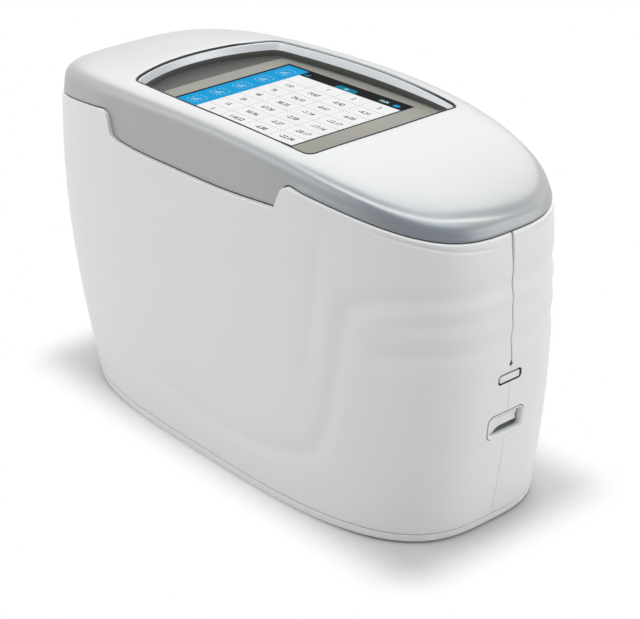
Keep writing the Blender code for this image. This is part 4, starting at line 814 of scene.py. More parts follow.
def window_outline(inset):
    """The window's outline, drawn in by an inset, anticlockwise seen from above."""
    nose, tail, half_width = WINDOW_NOSE - inset, WINDOW_TAIL + inset, WINDOW_HALF - inset
    corners = [np.array(c, float) for c in
               ((tail, -half_width), (nose, -half_width), (nose, half_width), (tail, half_width))]
    runs = []
    for a, b, bow in zip(corners, corners[1:] + corners[:1], (SIDE_BOW, NOSE_BOW, SIDE_BOW, TAIL_BOW)):
        run = b - a
        length = np.linalg.norm(run)
        aside = np.array([run[1], -run[0]]) / length
        t = np.linspace(WINDOW_CORNER / length, 1 - WINDOW_CORNER / length, SIDE_STEPS + 1)[:, None]
        runs.append(a + run * t + aside * bow * 4 * t * (1 - t))
    points = []
    for before, run, corner in zip(runs[-1:] + runs[:-1], runs, corners):
        for t in np.linspace(0, 1, CORNER_STEPS + 1)[:-1]:
            points.append(before[-1] * (1 - t) ** 2 + corner * 2 * t * (1 - t) + run[0] * t ** 2)
        points.extend(run[:-1])
    return np.array(points)


WINDOW = window_outline(0.0)
print("window outline points", len(WINDOW), "length", round(float(np.ptp(WINDOW[:, 0])), 1))

# %% [markdown]
# ## Moulding the cover
# Each column of points starts at the lower edge, climbs the skirt, rolls over the shoulder, runs to the
# rounded edge of the window and returns along the inside, so the cover is a real moulding with a wall. The
# columns point at the window's middle, and lie closer at the window's corners and at the notch's ends. On
# the shoulder the rows are spaced by angle, because it bends most close to its edge.
# %% Cover mesh
WINDOW_EDGE, LOWER_EDGE, CENTRE_X = 0.8, 0.25, 2.0
SKIRT_ROWS, CROWN_ROWS, HALVINGS = 12, 45, 30
CORNER_SPREAD, CORNER_STEP = 4, 0.5
COVER_STEP, COVER_BEND, FIRST_ANGLE, EDGE_DROP = 0.22, 0.6, math.radians(89.7), 0.4
UNDER_STEPS = (0.35, 0.6, 0.8, 0.92, 0.975, 0.995)


def at_angle(outline, angles):
    """Points of a closed outline at polar angles about the window's middle."""
    own = np.arctan2(outline[:, 1], outline[:, 0] - CENTRE_X)
    order = np.argsort(own)
    own, outline = own[order], outline[order]
    own = np.concatenate([own[-1:] - 2 * math.pi, own, own[:1] + 2 * math.pi])
    outline = np.vstack([outline[-1:], outline, outline[:1]])
    return np.stack([np.interp(angles, own, outline[:, k]) for k in (0, 1)], -1)


def cover_turns():
    """Columns round the whole cover, closer at the notch's ends and at the window's corners."""
    turns = [*even_turns(180, COVER_BEND), *notch_turns(-56)]
    fine = np.linspace(0, math.pi, 4001)
    x, y = outline_point(fine, 1.0, COVER_INSET)
    for end in (WINDOW_NOSE, WINDOW_TAIL):
        middle = math.atan2(WINDOW_HALF, end - CENTRE_X)
        wanted = middle + np.radians(np.arange(-CORNER_SPREAD, CORNER_SPREAD + 0.1, CORNER_STEP))
        turns += list(np.interp(wanted, np.arctan2(y, x - CENTRE_X), fine))
    keep = thinned(sorted(turns), 1.0, COVER_STEP)
    keep[-1] = math.pi
    return np.array(keep + [2 * math.pi - t for t in reversed(keep[1:-1])])


def low_inset(turns):
    """The inset of the cover's lower edge."""
    return COVER_INSET - flare(outline_point(turns, 1.0)[0], 0.0)


def skirt_rows(turns):
    """The rounded lower edge and the skirt above it."""
    outer = low_inset(turns)
    rows = [wall(turns, lambda x: split_height(x) + LOWER_EDGE * up, outer + LOWER_EDGE * out)
            for out, up in quarter_round(4)]
    for s in np.linspace(0.08, 1, SKIRT_ROWS):
        rows.append(wall(turns, lambda x: (1 - s) * (split_height(x) + LOWER_EDGE)
                         + s * (parting_height(x) + LOWER_EDGE), outer))
    return rows


def crown_rows(edge, window):
    """The shoulder and the top, from the cover's edge to the start of the window's rounded edge."""
    run = np.roll(edge, -1, 0) - np.roll(edge, 1, 0)
    outwards = np.stack([run[:, 1], -run[:, 0]], -1) / np.linalg.norm(run, axis=1)[:, None]
    span = edge - window
    share, endwise = edge_share(*(window + span * (WINDOW_EDGE / np.linalg.norm(span, axis=1))[:, None]).T)
    power = shoulder_power(endwise)
    last_angle = np.arcsin(np.minimum(share ** (power / 2), 1))
    rows = []
    for s in np.linspace(0, 1, CROWN_ROWS + 1)[:-1]:
        wanted = np.sin(FIRST_ANGLE + (last_angle - FIRST_ANGLE) * s) ** (2 / power)
        near, far = np.zeros(len(edge)), np.ones(len(edge))
        for _ in range(HALVINGS):
            middle = (near + far) / 2
            found, _ = edge_share(*(window + span * middle[:, None]).T)
            near, far = np.where(found < wanted, middle, near), np.where(found < wanted, far, middle)
        point = window + span * near[:, None]
        height = crown_height(point[:, 0], point[:, 1])
        lean = flare(point[:, 0], height - parting_height(point[:, 0]))
        rows.append(np.column_stack([point + outwards * lean[:, None], height]))
    return rows


def inner_rows(turns, edge, window):
    """The window's rounded edge, its side, and the way back along the inside."""
    span = edge - window
    unit = span / np.linalg.norm(span, axis=1)[:, None]
    rim = window + unit * WINDOW_EDGE
    rim_height = crown_height(rim[:, 0], rim[:, 1])
    rows = [np.column_stack([window + unit * (WINDOW_EDGE * out), rim_height - WINDOW_EDGE * down])
            for out, down in quarter_round(6)]
    rows.append(np.column_stack([window, rim_height - COVER_WALL - EDGE_DROP]))
    under = COVER_INSET + COVER_WALL
    inner = np.stack(outline_point(turns, 1.0, under), -1)
    for t in UNDER_STEPS:
        point = window + (inner - window) * t
        height = crown_height(point[:, 0], point[:, 1], under, CROWN - COVER_WALL, False)
        rows.append(np.column_stack([point, height]))
    rows.append(wall(turns, lambda x: parting_height(x) + LOWER_EDGE, under))
    rows.append(wall(turns, split_height, under))
    return rows


turns = cover_turns()
edge = np.stack(outline_point(turns, 1.0, COVER_INSET), -1)
window = at_angle(WINDOW, np.arctan2(edge[:, 1], edge[:, 0] - CENTRE_X))
rows = skirt_rows(turns) + crown_rows(edge, window) + inner_rows(turns, edge, window)
mesh = body_of_loops("top_cover", rows, ring=True)
piece_from_mesh("top_cover_moulded", mesh, SILVER, "housing", 40, ("top_cover",))
print("cover faces", len(mesh.polygons))

# %% [markdown]
# ## The dark cord in the joint
# A dark rubber cord lies in the joint between the shells and the cover. Only a fine line of it shows, and its black
# is painted shade that darkens the joint as the shade in a gap would. It is swept along the same turns as the
# cover's lower edge, a little further in, so it follows the notch too.
# %% Dark cord in the joint
CORD_OUT, CORD_IN, CORD_LOW, CORD_TOP = 0.3, 1.1, 0.02 - SPLIT_GAP, 0.2
cord = [wall(turns, lambda x: split_height(x) + lift, low_inset(turns) + inwards)
        for lift, inwards in ((CORD_LOW, CORD_OUT), (CORD_TOP, CORD_OUT), (CORD_TOP, CORD_IN), (CORD_LOW, CORD_IN))]
# Painted shade: the black cord darkens the joint line.
piece_from_mesh("joint_cord", body_of_loops("joint_cord", cord, ring=True), RUBBER, "housing")
print("cord round the joint, columns", len(turns))

# %% [markdown]
# ## The screen's frame and glass
# The window is lined by a thin silver frame, and the touch glass lies a few millimetres down inside it. A dark
# trim hides the foot of the frame, a border is printed on the glass, and a rubber gasket fills the gap between
# frame and cover. All of them follow the window's outline at a named inset, so that gaps are even all round.
# %% Frame and glass
FRAME_WALL, FRAME_DROP, FRAME_FOOT = 1.4, 0.75, 4.4
GLASS_INSET, GLASS_THICKNESS = 2.05, 1.1
BORDER_INSET, BORDER_TAIL, BORDER_BOW = 2.75, 3.35, 0.12
LIFT, PRINT = 0.004, 0.02
GASKET_PROUD, GASKET_SINK = 0.05, 0.7
SINK_Y, SINK_Y_FADE, SINK_X, SINK_X_FADE = 18, 8, 46, 20


def rim(drop):
    """A height below the cover's rim."""
    return lambda p: crown_height(p[:, 0], p[:, 1]) - drop


def over_glass(lift):
    return lambda p: np.full(len(p), float(GLASS_HEIGHT + lift))


def between(share):
    """A height between the glass and the cover's rim."""
    return lambda p: GLASS_HEIGHT + share * (crown_height(p[:, 0], p[:, 1]) - GLASS_HEIGHT)


def gasket_height(drop):
    """The gasket stands proud, but along the far side it lies deeper, behind the step of the frame."""
    return lambda p: (crown_height(p[:, 0], p[:, 1]) - drop - GASKET_SINK
                      * np.clip((p[:, 1] - SINK_Y) / SINK_Y_FADE, 0, 1)
                      * np.clip((SINK_X - p[:, 0]) / SINK_X_FADE, 0, 1))


def border_outline(inset):
    """The window's outline with its bow at the tail nearly flat, so that it runs along the picture."""
    outline = window_outline(inset)
    outline[:, 0] -= (1 - BORDER_BOW) * np.minimum(outline[:, 0] - WINDOW_TAIL - inset, 0)
    outline[:, 0] += BORDER_TAIL * np.clip(-outline[:, 0] / WINDOW_HALF, 0, 1)
    return outline


def window_piece(name, made, rows, material, ring=True, replaces=()):
    """A piece from outlines round the window: each row has an inset and a height for each of its points."""
    loops = [np.column_stack([outline(inset), height(outline(inset))]) for outline, inset, height in rows]
    return piece_from_mesh(made, body_of_loops(name, loops, ring), material, "housing", 40, replaces)


def round_window(start, rows, outline=window_outline):
    """Rows of a window piece, with their insets counted from a start."""
    return [(outline, start + inset, height) for inset, height in rows]


window_piece("screen_frame", "screen_frame_moulded", round_window(GAP, [
    (0.0, over_glass(-FRAME_FOOT)), (0.0, rim(FRAME_DROP + 0.25)), (0.1, rim(FRAME_DROP + 0.06)),
    (0.25, rim(FRAME_DROP)), (0.4, rim(FRAME_DROP + 0.1)), (0.5, rim(FRAME_DROP + 0.35)), (1.0, between(0.36)),
    (1.1, between(0.32)), (1.3, between(0.30))]) + round_window(GAP + FRAME_WALL, [
        (0.0, between(0.26)), (0.2, over_glass(-0.2)), (0.25, over_glass(-1.3)), (2.4, over_glass(-1.5)),
        (2.4, over_glass(-2.3)), (-0.2, over_glass(-FRAME_FOOT))]),
    LINING, replaces=("screen_frame",))
window_piece("frame_trim", "frame_trim_printed", round_window(GAP, [
    (1.0, between(0.28)), (1.05, between(0.37)), (1.2, between(0.37))]) + round_window(GAP + FRAME_WALL, [
        (0.1, between(0.29)), (0.33, over_glass(0.03)), (0.1, over_glass(-0.1))]), BORDER)
glass = window_piece("touch_glass", "touch_glass_ground", round_window(GLASS_INSET, [
    (0.0, over_glass(-GLASS_THICKNESS)), (0.0, over_glass(-0.25)), (0.08, over_glass(-0.08)),
    (0.25, over_glass(0.0))]), BEZEL, False, ("touch_glass",))
window_piece("glass_border", "glass_border_print",
             round_window(GLASS_INSET, [(0.3, over_glass(LIFT)), (0.3, over_glass(PRINT))])
             + round_window(BORDER_INSET, [(0.0, over_glass(PRINT)), (0.0, over_glass(LIFT))], border_outline),
             BORDER)
window_piece("window_gasket", "window_gasket", round_window(0.0, [
    (-0.12, rim(0.9)), (-0.12, gasket_height(0.1)), (-0.04, gasket_height(-GASKET_PROUD)),
    (0.1, gasket_height(-GASKET_PROUD)), (0.18, gasket_height(0.1)), (0.18, rim(0.9))]), RUBBER)
print("glass", [round(v / MM, 1) for v in glass.dimensions[:2]])

# %% [markdown]
# ## The nose: the port with its cover, and the pinhole
# These small parts sit in holes that straddle the seam. Each one is swept from an outline in y and z that is
# laid on the nose wall at some depth, so its face follows the wall. The port's cover is a little flap with a
# rounded edge and a gap for a fingernail. A black liner and a black sleeve line the two holes, painted shade that
# makes them look deep and dark.
# %% Port cover
EDGE, FLAP_GAP, FLAP_DEPTH = 0.25, 0.55, 0.12


def lined_hole(name, outline, steps):
    """A thin black ring on the nose wall that lines a hole, as painted shade that darkens it."""
    mesh = body_of_loops(name, wall_loops(outline, steps), ring=True)
    return piece_from_mesh(name, mesh, BLACK, "housing")


flap_steps = [(-FLAP_GAP - EDGE, FLAP_DEPTH + FLAP_THICKNESS), (-FLAP_GAP, FLAP_DEPTH + FLAP_THICKNESS - EDGE)]
flap_steps += [(-FLAP_GAP - EDGE * (1 - math.cos(a)), FLAP_DEPTH + EDGE * (1 - math.sin(a)))
               for a in np.linspace(0, math.pi / 2, 5)]
flap = wall_loops(port_outline, flap_steps)
for loop in flap:
    loop[:, 1] = np.minimum(loop[:, 1], PORT_HALF - NAIL_GAP)
piece_from_mesh("port_cover_moulded", body_of_loops("port_cover", flap), WHITE, "port_flap", 40,
                ("port_cover",))
# Painted shade: black linings darken the port and the pinhole.
lined_hole("port_liner", lambda grow: port_outline(PORT_GROW + grow),
           ((0.2, 0.2), (0.02, 0.2), (-0.18, 0.4), (-0.2, 2.4), (0.2, 2.4)))
lined_hole("pinhole_sleeve", pinhole_outline, ((0.4, 0.12), (0.12, 0.12), (0.0, 0.25), (0.0, 2.3), (0.4, 2.3)))
print("port cover with a nail gap of", NAIL_GAP, "mm")

# %% [markdown]
# ## The charging socket
# Behind the cover lies a drawn steel shell with a plastic tongue inside, as in every socket of this kind. The
# shell is closed at its seat and open at its mouth, where its rim is rounded.
# %% Charging socket
SOCKET_HALF, SOCKET_TALL, SOCKET_WALL, SOCKET_DEPTH = 4.5, 1.6, 0.4, 6.2
SOCKET_BEND, SOCKET_EDGE, SOCKET_RIM = 0.3, 0.12, 0.1
TONGUE_HALF, TONGUE_TALL, TONGUE_LONG, TONGUE_EDGE = 3.2, 0.32, 4.4, 0.12
low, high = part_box("charging_socket")
mouth, seat = high.x / MM - MIDDLE, low.x / MM - MIDDLE


def socket_loop(x, shrink):
    corner = SOCKET_TALL - SOCKET_BEND - shrink
    return at_x(rounded(SOCKET_HALF - shrink, SOCKET_TALL - shrink, corner, (0, PORT_Z)), x)


loops = [socket_loop(x, shrink) for x, shrink in (
    (seat, SOCKET_EDGE), (seat + SOCKET_EDGE, 0), (mouth - SOCKET_EDGE, 0), (mouth, SOCKET_EDGE),
    (mouth, SOCKET_WALL - SOCKET_RIM), (mouth - SOCKET_RIM, SOCKET_WALL), (mouth - SOCKET_DEPTH, SOCKET_WALL))]
piece_from_mesh("charging_socket_drawn", body_of_loops("charging_socket", loops), STEEL, "housing", 40,
                ("charging_socket",))
tongue = [at_x(rounded(TONGUE_HALF - s, TONGUE_TALL - s, TONGUE_EDGE, (0, PORT_Z)), mouth - SOCKET_DEPTH + x)
          for x, s in ((0.02, 0), (TONGUE_LONG - 0.15, 0), (TONGUE_LONG, TONGUE_EDGE))]
piece_from_mesh("socket_tongue", body_of_loops("socket_tongue", tongue), BLACK, "housing")
print("socket mouth lies at x =", round(mouth, 2))

# %% [markdown]
# ## The recess of the power rocker
# A white liner sits in the hole and leads into a grey well that holds the rocker. Its lip is crisp at the top
# left and softly rounded at the right and at the foot, where a finger comes in. A black collar behind its rim
# shows as a fine dark line, painted shade standing in for the shadow in the gap.
# %% Power recess
LIP_CORNER, LIP_SWEEP, WELL_DEPTH = 1.4, 2.6, 1.9
LIP_LEFT, LIP_RIGHT, LIP_LOW, LIP_TOP, LIP_DEPTH, LIP_START = 0.3, 0.8, 0.9, 0.2, 1.3, 0.02
LINER_SHIFT = 0.18
INNER = -LINER_WALL
face_x = float(wall_x(np.array(0.0), np.array(RECESS_Z)))
back_x = face_x - RECESS_DEPTH


def recess_loop(grow, x=None, depth=0.0):
    """The recess's outline, grown, at an x or else at a depth behind the wall."""
    outline = recess_outline(grow)
    return on_wall(outline, depth) if x is None else at_x(outline, x)


def liner_outline(shrink):
    """The liner's rim: close to the shell at the right and the foot, with a fine gap elsewhere, darkened by the
    black collar behind it as painted shade.
    """
    return rounded(RECESS_HALF - LINER_SHIFT - shrink, RECESS_TALL - LINER_SHIFT - shrink, RECESS_CORNER - shrink,
                   (LINER_SHIFT, RECESS_Z - LINER_SHIFT))


def lip_outline(share):
    """The opening in the recess's liner: crisp at the top left, soft at the right and at the foot."""
    left, right, low, top = (share * width for width in (LIP_LEFT, LIP_RIGHT, LIP_LOW, LIP_TOP))
    half_long = RECESS_HALF - LINER_WALL + (left + right) / 2
    half_tall = RECESS_TALL - LINER_WALL + (low + top) / 2
    return rounded(half_long, half_tall, (LIP_CORNER, LIP_CORNER, LIP_SWEEP, LIP_CORNER),
                   ((right - left) / 2, RECESS_Z + (top - low) / 2))


loops = [recess_loop(-0.3, back_x), recess_loop(-0.3, depth=1.2)]
loops += wall_loops(liner_outline, ((0.0, 1.0), (0.0, 0.1), (0.1, LIP_START)))
loops += wall_loops(lip_outline, [(out, LIP_DEPTH * deep + LIP_START) for out, deep in quarter_round(7)])
loops += [on_wall(lip_outline(0.0), WELL_DEPTH), recess_loop(INNER, back_x + LINER_WALL + 0.8),
          recess_loop(INNER - 0.8, back_x + LINER_WALL)]
piece_from_mesh("rocker_bezel_moulded", body_of_loops("rocker_bezel", loops), WHITE, "housing",
                40, ("rocker_bezel",))
# Painted shade: the black collar behind the liner's rim darkens the gap.
lined_hole("recess_collar", recess_outline, ((0.3, 0.35), (-0.25, 0.35), (-0.25, 1.15), (0.3, 1.15)))
well = [recess_loop(INNER + 0.3, back_x + LINER_WALL + 0.05), recess_loop(INNER + 0.3, depth=WELL_DEPTH + 0.1),
        recess_loop(INNER - 0.1, depth=WELL_DEPTH), recess_loop(INNER - 0.15, back_x + LINER_WALL + 0.6),
        recess_loop(INNER - 0.6, back_x + LINER_WALL + 0.15)]
piece_from_mesh("rocker_well", body_of_loops("rocker_well", well), KEY_GREY, "housing")
print("recess face at x =", round(face_x, 2))

# %% [markdown]
# ## The power rocker
# The rocker is a small paddle that tilts on a pin. Its side view is drawn as a line with eased corners and
# turned by its rest angle; the same line is repeated along the pin, and its lower edge is drawn in where a
# finger notch is open to the right.
# %% Power rocker
PIVOT_DEPTH, TILT = 5.2, math.radians(12)
ROCKER_HALF, ROCKER_TALL, ROCKER_LOW, ROCKER_THICK, HUB = 6.8, 2.8, 3.3, 1.6, 1.1
NOTCH_LOW = 1.1
# Each corner's eased length, and the notch: distance along y and reach below the pivot.
ROCKER_EASE = (0.3, 0.4, 0.35, 0.8, 0.35, 0.4, 0.3)
NOTCHED = [(-ROCKER_HALF + 0.3, ROCKER_LOW), (-4.4, ROCKER_LOW), (-3.9, 3.15), (-3.4, 2.7), (-2.9, 2.1),
           (-2.4, 1.6), (-1.8, 1.3), (-1.0, 1.15), (0.0, NOTCH_LOW), (ROCKER_HALF - 0.3, NOTCH_LOW)]
# The paddle's rounded ends: distance from the end, and the share by which the side view shrinks there.
ROUNDED_ENDS = ((0.0, 0.14), (0.07, 0.05))
pivot_x = face_x - PIVOT_DEPTH


def shrunk(loop, amount):
    """A loop drawn towards its own middle."""
    middle = loop.mean(axis=0)
    return middle + (loop - middle) * (1 - amount)


def rocker_loop(y, amount, low):
    """The paddle's side view at a y, with its lower edge at a given distance below the pivot."""
    x, z = eased([(-HUB, 0), (0, -HUB), (ROCKER_THICK, -low), (2 * ROCKER_THICK, -low), (ROCKER_THICK + HUB, 0.4),
                  (2 * ROCKER_THICK, ROCKER_TALL), (ROCKER_THICK, ROCKER_TALL), (0, HUB), (-HUB, 0)],
                 ROCKER_EASE, 5)[:-1].T
    loop = shrunk(np.column_stack([pivot_x + x * math.cos(TILT) + z * math.sin(TILT),
                                   RECESS_Z + z * math.cos(TILT) - x * math.sin(TILT)]), amount)
    return np.column_stack([loop[:, 0], np.full(len(loop), y), loop[:, 1]])


loops = [rocker_loop(-ROCKER_HALF + away, amount, ROCKER_LOW) for away, amount in ROUNDED_ENDS]
loops += [rocker_loop(y, 0.0, low) for y, low in NOTCHED]
loops += [rocker_loop(ROCKER_HALF - away, amount, NOTCH_LOW) for away, amount in reversed(ROUNDED_ENDS)]
paddle = body_of_loops("paddle", loops)
pin = turned("pin", [(0.4, -7.6), (0.7, -7.4), (0.7, 7.4), (0.4, 7.6)], (pivot_x, 0, RECESS_Z), "y", 24)
piece_from_mesh("power_rocker_moulded", joined("power_rocker", [paddle, pin]), WHITE, "rocker",
                40, ("power_rocker",))
print("pivot at x =", round(pivot_x + MIDDLE, 3))

# %% [markdown]
# ## The reset plunger
# A thin turned rod with a rounded tip waits inside the pinhole. A bent paper clip pushes it onto its switch.
# %% Reset plunger
PLUNGER_R = 0.85
low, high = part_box("reset_plunger")
tip, foot = high.x / MM - MIDDLE, low.x / MM - MIDDLE
plunger = turned("reset_plunger", [(PLUNGER_R - 0.25, foot), (PLUNGER_R, foot + 0.15), (PLUNGER_R, tip - 0.35),
                                   (0.7, tip - 0.12), (0.4, tip)], (0, 0, PINHOLE_Z), "x", 32)
piece_from_mesh("reset_plunger_turned", plunger, STEEL, "plunger", 40, ("reset_plunger",))
print("plunger length", round(tip - foot, 1), "mm")

# %% [markdown]
# ## The measure key
# The large key at the tail is pressed with the palm. Its face is dished, its rim is rounded, and a wider
# flange behind the wall keeps it from falling out. A stem on its back reaches the switch.
# %% Measure key
KEY_PROUD, FLANGE, FLANGE_THICKNESS, FLANGE_EDGE, STEM_R = 0.9, 1.2, 1.0, 0.1, 2.2
under = SHELL_WALL + GAP
loops = [on_wall(key_outline(grow), depth, False) for grow, depth in (
    (-5.8, -0.52), (-4.6, -0.56), (-3.2, -0.66), (-2.2, -0.8), (-1.5, -0.88), (-1.0, -KEY_PROUD), (-0.55, -0.85),
    (-0.25, -0.66), (-0.06, -0.36), (0.0, 0.0), (0.0, under), (FLANGE - FLANGE_EDGE, under),
    (FLANGE, under + FLANGE_EDGE), (FLANGE, under + FLANGE_THICKNESS - FLANGE_EDGE),
    (FLANGE - FLANGE_EDGE, under + FLANGE_THICKNESS))]
cap = body_of_loops("key_cap", loops)
back_x = float(wall_x(np.array(0.0), np.array(KEY_Z), under + FLANGE_THICKNESS, False))
stem = turned("key_stem", [(STEM_R, back_x - 0.5), (STEM_R, back_x + 3.8), (STEM_R - 0.2, back_x + 4.0)],
              (0, 0, KEY_Z), "x", 32)
piece_from_mesh("measure_key_moulded", joined("measure_key", [cap, stem]), KEY_GREY, "key", 40,
                ("measure_key",))
print("key face stands", KEY_PROUD, "mm proud")

# %% [markdown]
# ## The base
# The base plate closes the housing from below. It is the strip under the joint line that runs round the
# foot. Its rim is rounded towards the bench, a lip on its top centres it between the shells, and holes let
# the screws, the pins and the aperture through.
# %% Base plate
APERTURE_X, APERTURE_R, RING_R = -12.0, 8.0, 12.5
PIN_Y, PIN_SPREAD, PIN_R = 23.5, 21.0, 1.6
PAD_X, PAD_Y, PAD_LONG, PAD_WIDE, PAD_THICK, POCKET_TOP = 52.0, 26.0, 15.0, 4.0, 1.4, 1.7
LIP, LIP_THICK, LIP_EDGE, BASE_RIM, BASE_EDGE, BASE_FLOOR = 2.8, 1.6, 0.3, 1.0, 0.15, 3.0
DRILL_BELOW, DRILL_TOP = -1.0, 9
SCREW_WELL = [(3.1, DRILL_BELOW), (2.9, 0.8), (2.9, 2.6), (1.6, 2.61), (1.6, DRILL_TOP)]
CASE_SCREWS = ("case_screw_1", "case_screw_2", "case_screw_3", "case_screw_4")
full = np.concatenate([even_turns(170), 2 * math.pi - even_turns(170)[1:-1][::-1]])


def drill(radius, place, flare=0.2):
    """A drill that leaves a countersunk edge at the underside."""
    return turned("drill", [(radius + flare + 1, DRILL_BELOW), (radius + flare, PAD_STANDOFF - 0.01),
                            (radius, PAD_STANDOFF + flare), (radius, DRILL_TOP)], (*place, 0), sides=64)


def stadium(grow, place):
    """The outline of a foot pad: a bar with round ends."""
    return rounded(PAD_LONG + grow, PAD_WIDE + grow, PAD_WIDE + grow, place, 12)


def upright_loops(outline, heights):
    return [at_z(outline(grow), z) for grow, z in heights]


lip_out = SHELL_WALL + GAP
lip_in = lip_out + LIP_THICK
steps = [(PAD_STANDOFF, BASE_RIM + BASE_FLOOR)]
steps += [(PAD_STANDOFF + BASE_RIM * up, BASE_RIM * out) for out, up in quarter_round(7, 0.1)]
steps += [(BASE_TOP - BASE_EDGE, 0.0), (BASE_TOP, BASE_EDGE), (BASE_TOP, lip_out),
          (BASE_TOP + LIP - LIP_EDGE, lip_out), (BASE_TOP + LIP, lip_out + LIP_EDGE), (BASE_TOP + LIP, lip_in),
          (BASE_TOP, lip_in)]
base = body_of_loops("base_plate", [wall(full, lambda x: height + 0 * x, inset) for height, inset in steps])
boxes = [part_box(name) for name in CASE_SCREWS]
screws = [((low.x + high.x) / 2 / MM - MIDDLE, (low.y + high.y) / 2 / MM) for low, high in boxes]
pins = [(APERTURE_X, PIN_Y), (APERTURE_X - PIN_SPREAD, -PIN_Y), (APERTURE_X + PIN_SPREAD, -PIN_Y)]
pads = [(x, y) for x in (-PAD_X, PAD_X) for y in (-PAD_Y, PAD_Y)]
tools = [drill(RING_R + GAP, (APERTURE_X, 0))] + [drill(PIN_R + GAP, place, 0.15) for place in pins]
tools += [turned("well", SCREW_WELL, (*place, 0), sides=48) for place in screws]
tools += [body_of_loops("pocket", [at_z(stadium(GAP, place), z) for z in (DRILL_BELOW, POCKET_TOP)])
          for place in pads]
for tool in tools:
    base = boolean(base, tool)
piece_from_mesh("base_plate_moulded", base, WHITE, "housing", 35, ("base_plate",))
print("base plate faces", len(base.polygons))

# %% [markdown]
# ## The aperture ring and the contact pins
# A soft ring seals the measuring aperture against the sample, with a groove round the opening. The three pins
# round it are turned from steel, each with a rounded foot and a collar for its spring.
# %% Aperture ring and pins
RING_LOW, RING_FLANGE, FLANGE_R = 0.3, 4.0, 14.5
COLLAR_R, COLLAR_TOP, PIN_TOP = 2.57, FLOOR + 1.2, FLOOR + 14.0
profile = [(APERTURE_R + 0.2, RING_LOW), (APERTURE_R + 1.4, RING_LOW), (APERTURE_R + 1.6, RING_LOW + 0.25),
           (APERTURE_R + 1.9, RING_LOW + 0.25), (APERTURE_R + 2.1, RING_LOW), (RING_R - 1.1, RING_LOW),
           (RING_R - 0.4, RING_LOW + 0.3), (RING_R, RING_LOW + 1.0), (RING_R, RING_FLANGE),
           (FLANGE_R, RING_FLANGE), (FLANGE_R, RING_FLANGE + 1.0), (APERTURE_R + 3.0, RING_FLANGE + 1.0),
           (APERTURE_R, RING_LOW + 0.2)]
ring = turned("aperture_ring", profile, (APERTURE_X, 0, 0), sides=96, ring=True)
piece_from_mesh("aperture_ring_moulded", ring, RUBBER, "housing", 35, ("aperture_ring",))
profile = [(0.25, 0.1), (0.7, 0.2), (1.2, 0.45), (PIN_R, 1.0), (PIN_R, FLOOR), (COLLAR_R - 0.1, FLOOR),
           (COLLAR_R, FLOOR + 0.1), (COLLAR_R, COLLAR_TOP - 0.1), (COLLAR_R - 0.1, COLLAR_TOP),
           (PIN_R - 0.05, COLLAR_TOP), (PIN_R - 0.05, PIN_TOP - 0.3), (PIN_R - 0.35, PIN_TOP)]
for count, place in enumerate(pins, start=1):
    name = "contact_pin_" + str(count)
    piece_from_mesh(name + "_turned", turned(name, profile, (*place, 0), sides=40), STEEL,
                    "pin_" + str(count), 35, (name,))
print("contact pins", len(pins))

# %% [markdown]
# ## Parts that repeat, grown by geometry nodes
# Two small node trees do all the repeating. One sets a part out in a grid of columns and rows, for the
# dashed rules of the screen's table, its buttons and the ribs of the foot pads. The other sets a part at given
# points with a random turn, for screws, whose cross slots never line up on a real product.
# %% Node trees
def new_tree(name, sockets):
    """A geometry node tree with a geometry input, the named inputs and a geometry output."""
    tree = bpy.data.node_groups.new(name, "GeometryNodeTree")
    tree.is_modifier = True
    for label, kind in (("Geometry", "Geometry"), *sockets):
        tree.interface.new_socket(label, in_out="INPUT", socket_type="NodeSocket" + kind)
    tree.interface.new_socket("Geometry", in_out="OUTPUT", socket_type="NodeSocketGeometry")
    return tree, tree.nodes.new("NodeGroupInput").outputs


def end_tree(tree, given, made):
    """Make what was grown real, give it its finish and send it out."""
    real = node(tree, "GeometryNodeRealizeInstances", Geometry=made)
    coat = node(tree, "GeometryNodeSetMaterial", Geometry=real.outputs["Geometry"], Material=given["Finish"])
    node(tree, "NodeGroupOutput", Geometry=coat.outputs["Geometry"])
    return tree


def grid_tree():
    """Sets its geometry out in columns and rows."""
    tree, given = new_tree("repeat_in_grid", (("Columns", "Int"), ("Rows", "Int"), ("Column step", "Float"),
                                              ("Row step", "Float"), ("Finish", "Material")))
    grid = node(tree, "GeometryNodeMeshGrid")
    for side, count, step in (("X", "Columns", "Column step"), ("Y", "Rows", "Row step")):
        fewer = combined(tree, "SUBTRACT", given[count], 1)
        span = combined(tree, "MULTIPLY", fewer.outputs[0], given[step])
        fill(tree, grid, **{"Size_" + side: span.outputs[0], "Vertices_" + side: given[count]})
    place = node(tree, "GeometryNodeInstanceOnPoints", Points=grid.outputs["Mesh"], Instance=given["Geometry"])
    return end_tree(tree, given, place.outputs["Instances"])


def point_tree():
    """Sets a part at each point of its geometry, with a random turn."""
    tree, given = new_tree("repeat_at_points", (("Part", "Object"), ("Seed", "Int"), ("Finish", "Material")))
    part = node(tree, "GeometryNodeObjectInfo", As_Instance=True, Object=given["Part"])
    turn = tree.nodes.new("FunctionNodeRandomValue")
    turn.data_type = "FLOAT_VECTOR"
    fill(tree, turn, _0=(0, 0, 0), _1=(0, 0, math.pi), Seed=given["Seed"])
    place = node(tree, "GeometryNodeInstanceOnPoints", Points=given["Geometry"],
                 Instance=part.outputs["Geometry"], Rotation=turn.outputs[0])
    return end_tree(tree, given, place.outputs["Instances"])


def grown(tree, mesh, **values):
    """Run a tree on a mesh and keep what it makes as a plain mesh."""
    holder = placed("holder", mesh)
    modifier = holder.modifiers.new("grow", "NODES")
    modifier.node_group = tree
    for socket in tree.interface.items_tree:
        key = socket.name.replace(" ", "_").lower()
        if socket.in_out == "INPUT" and key in values:
            modifier[socket.identifier] = values[key]
    holder.update_tag()
    result = plain_mesh(holder)
    holder.modifiers.clear()
    bpy.data.objects.remove(holder)
    return result


GRID, POINTS = grid_tree(), point_tree()
print("trees", GRID.name, POINTS.name)

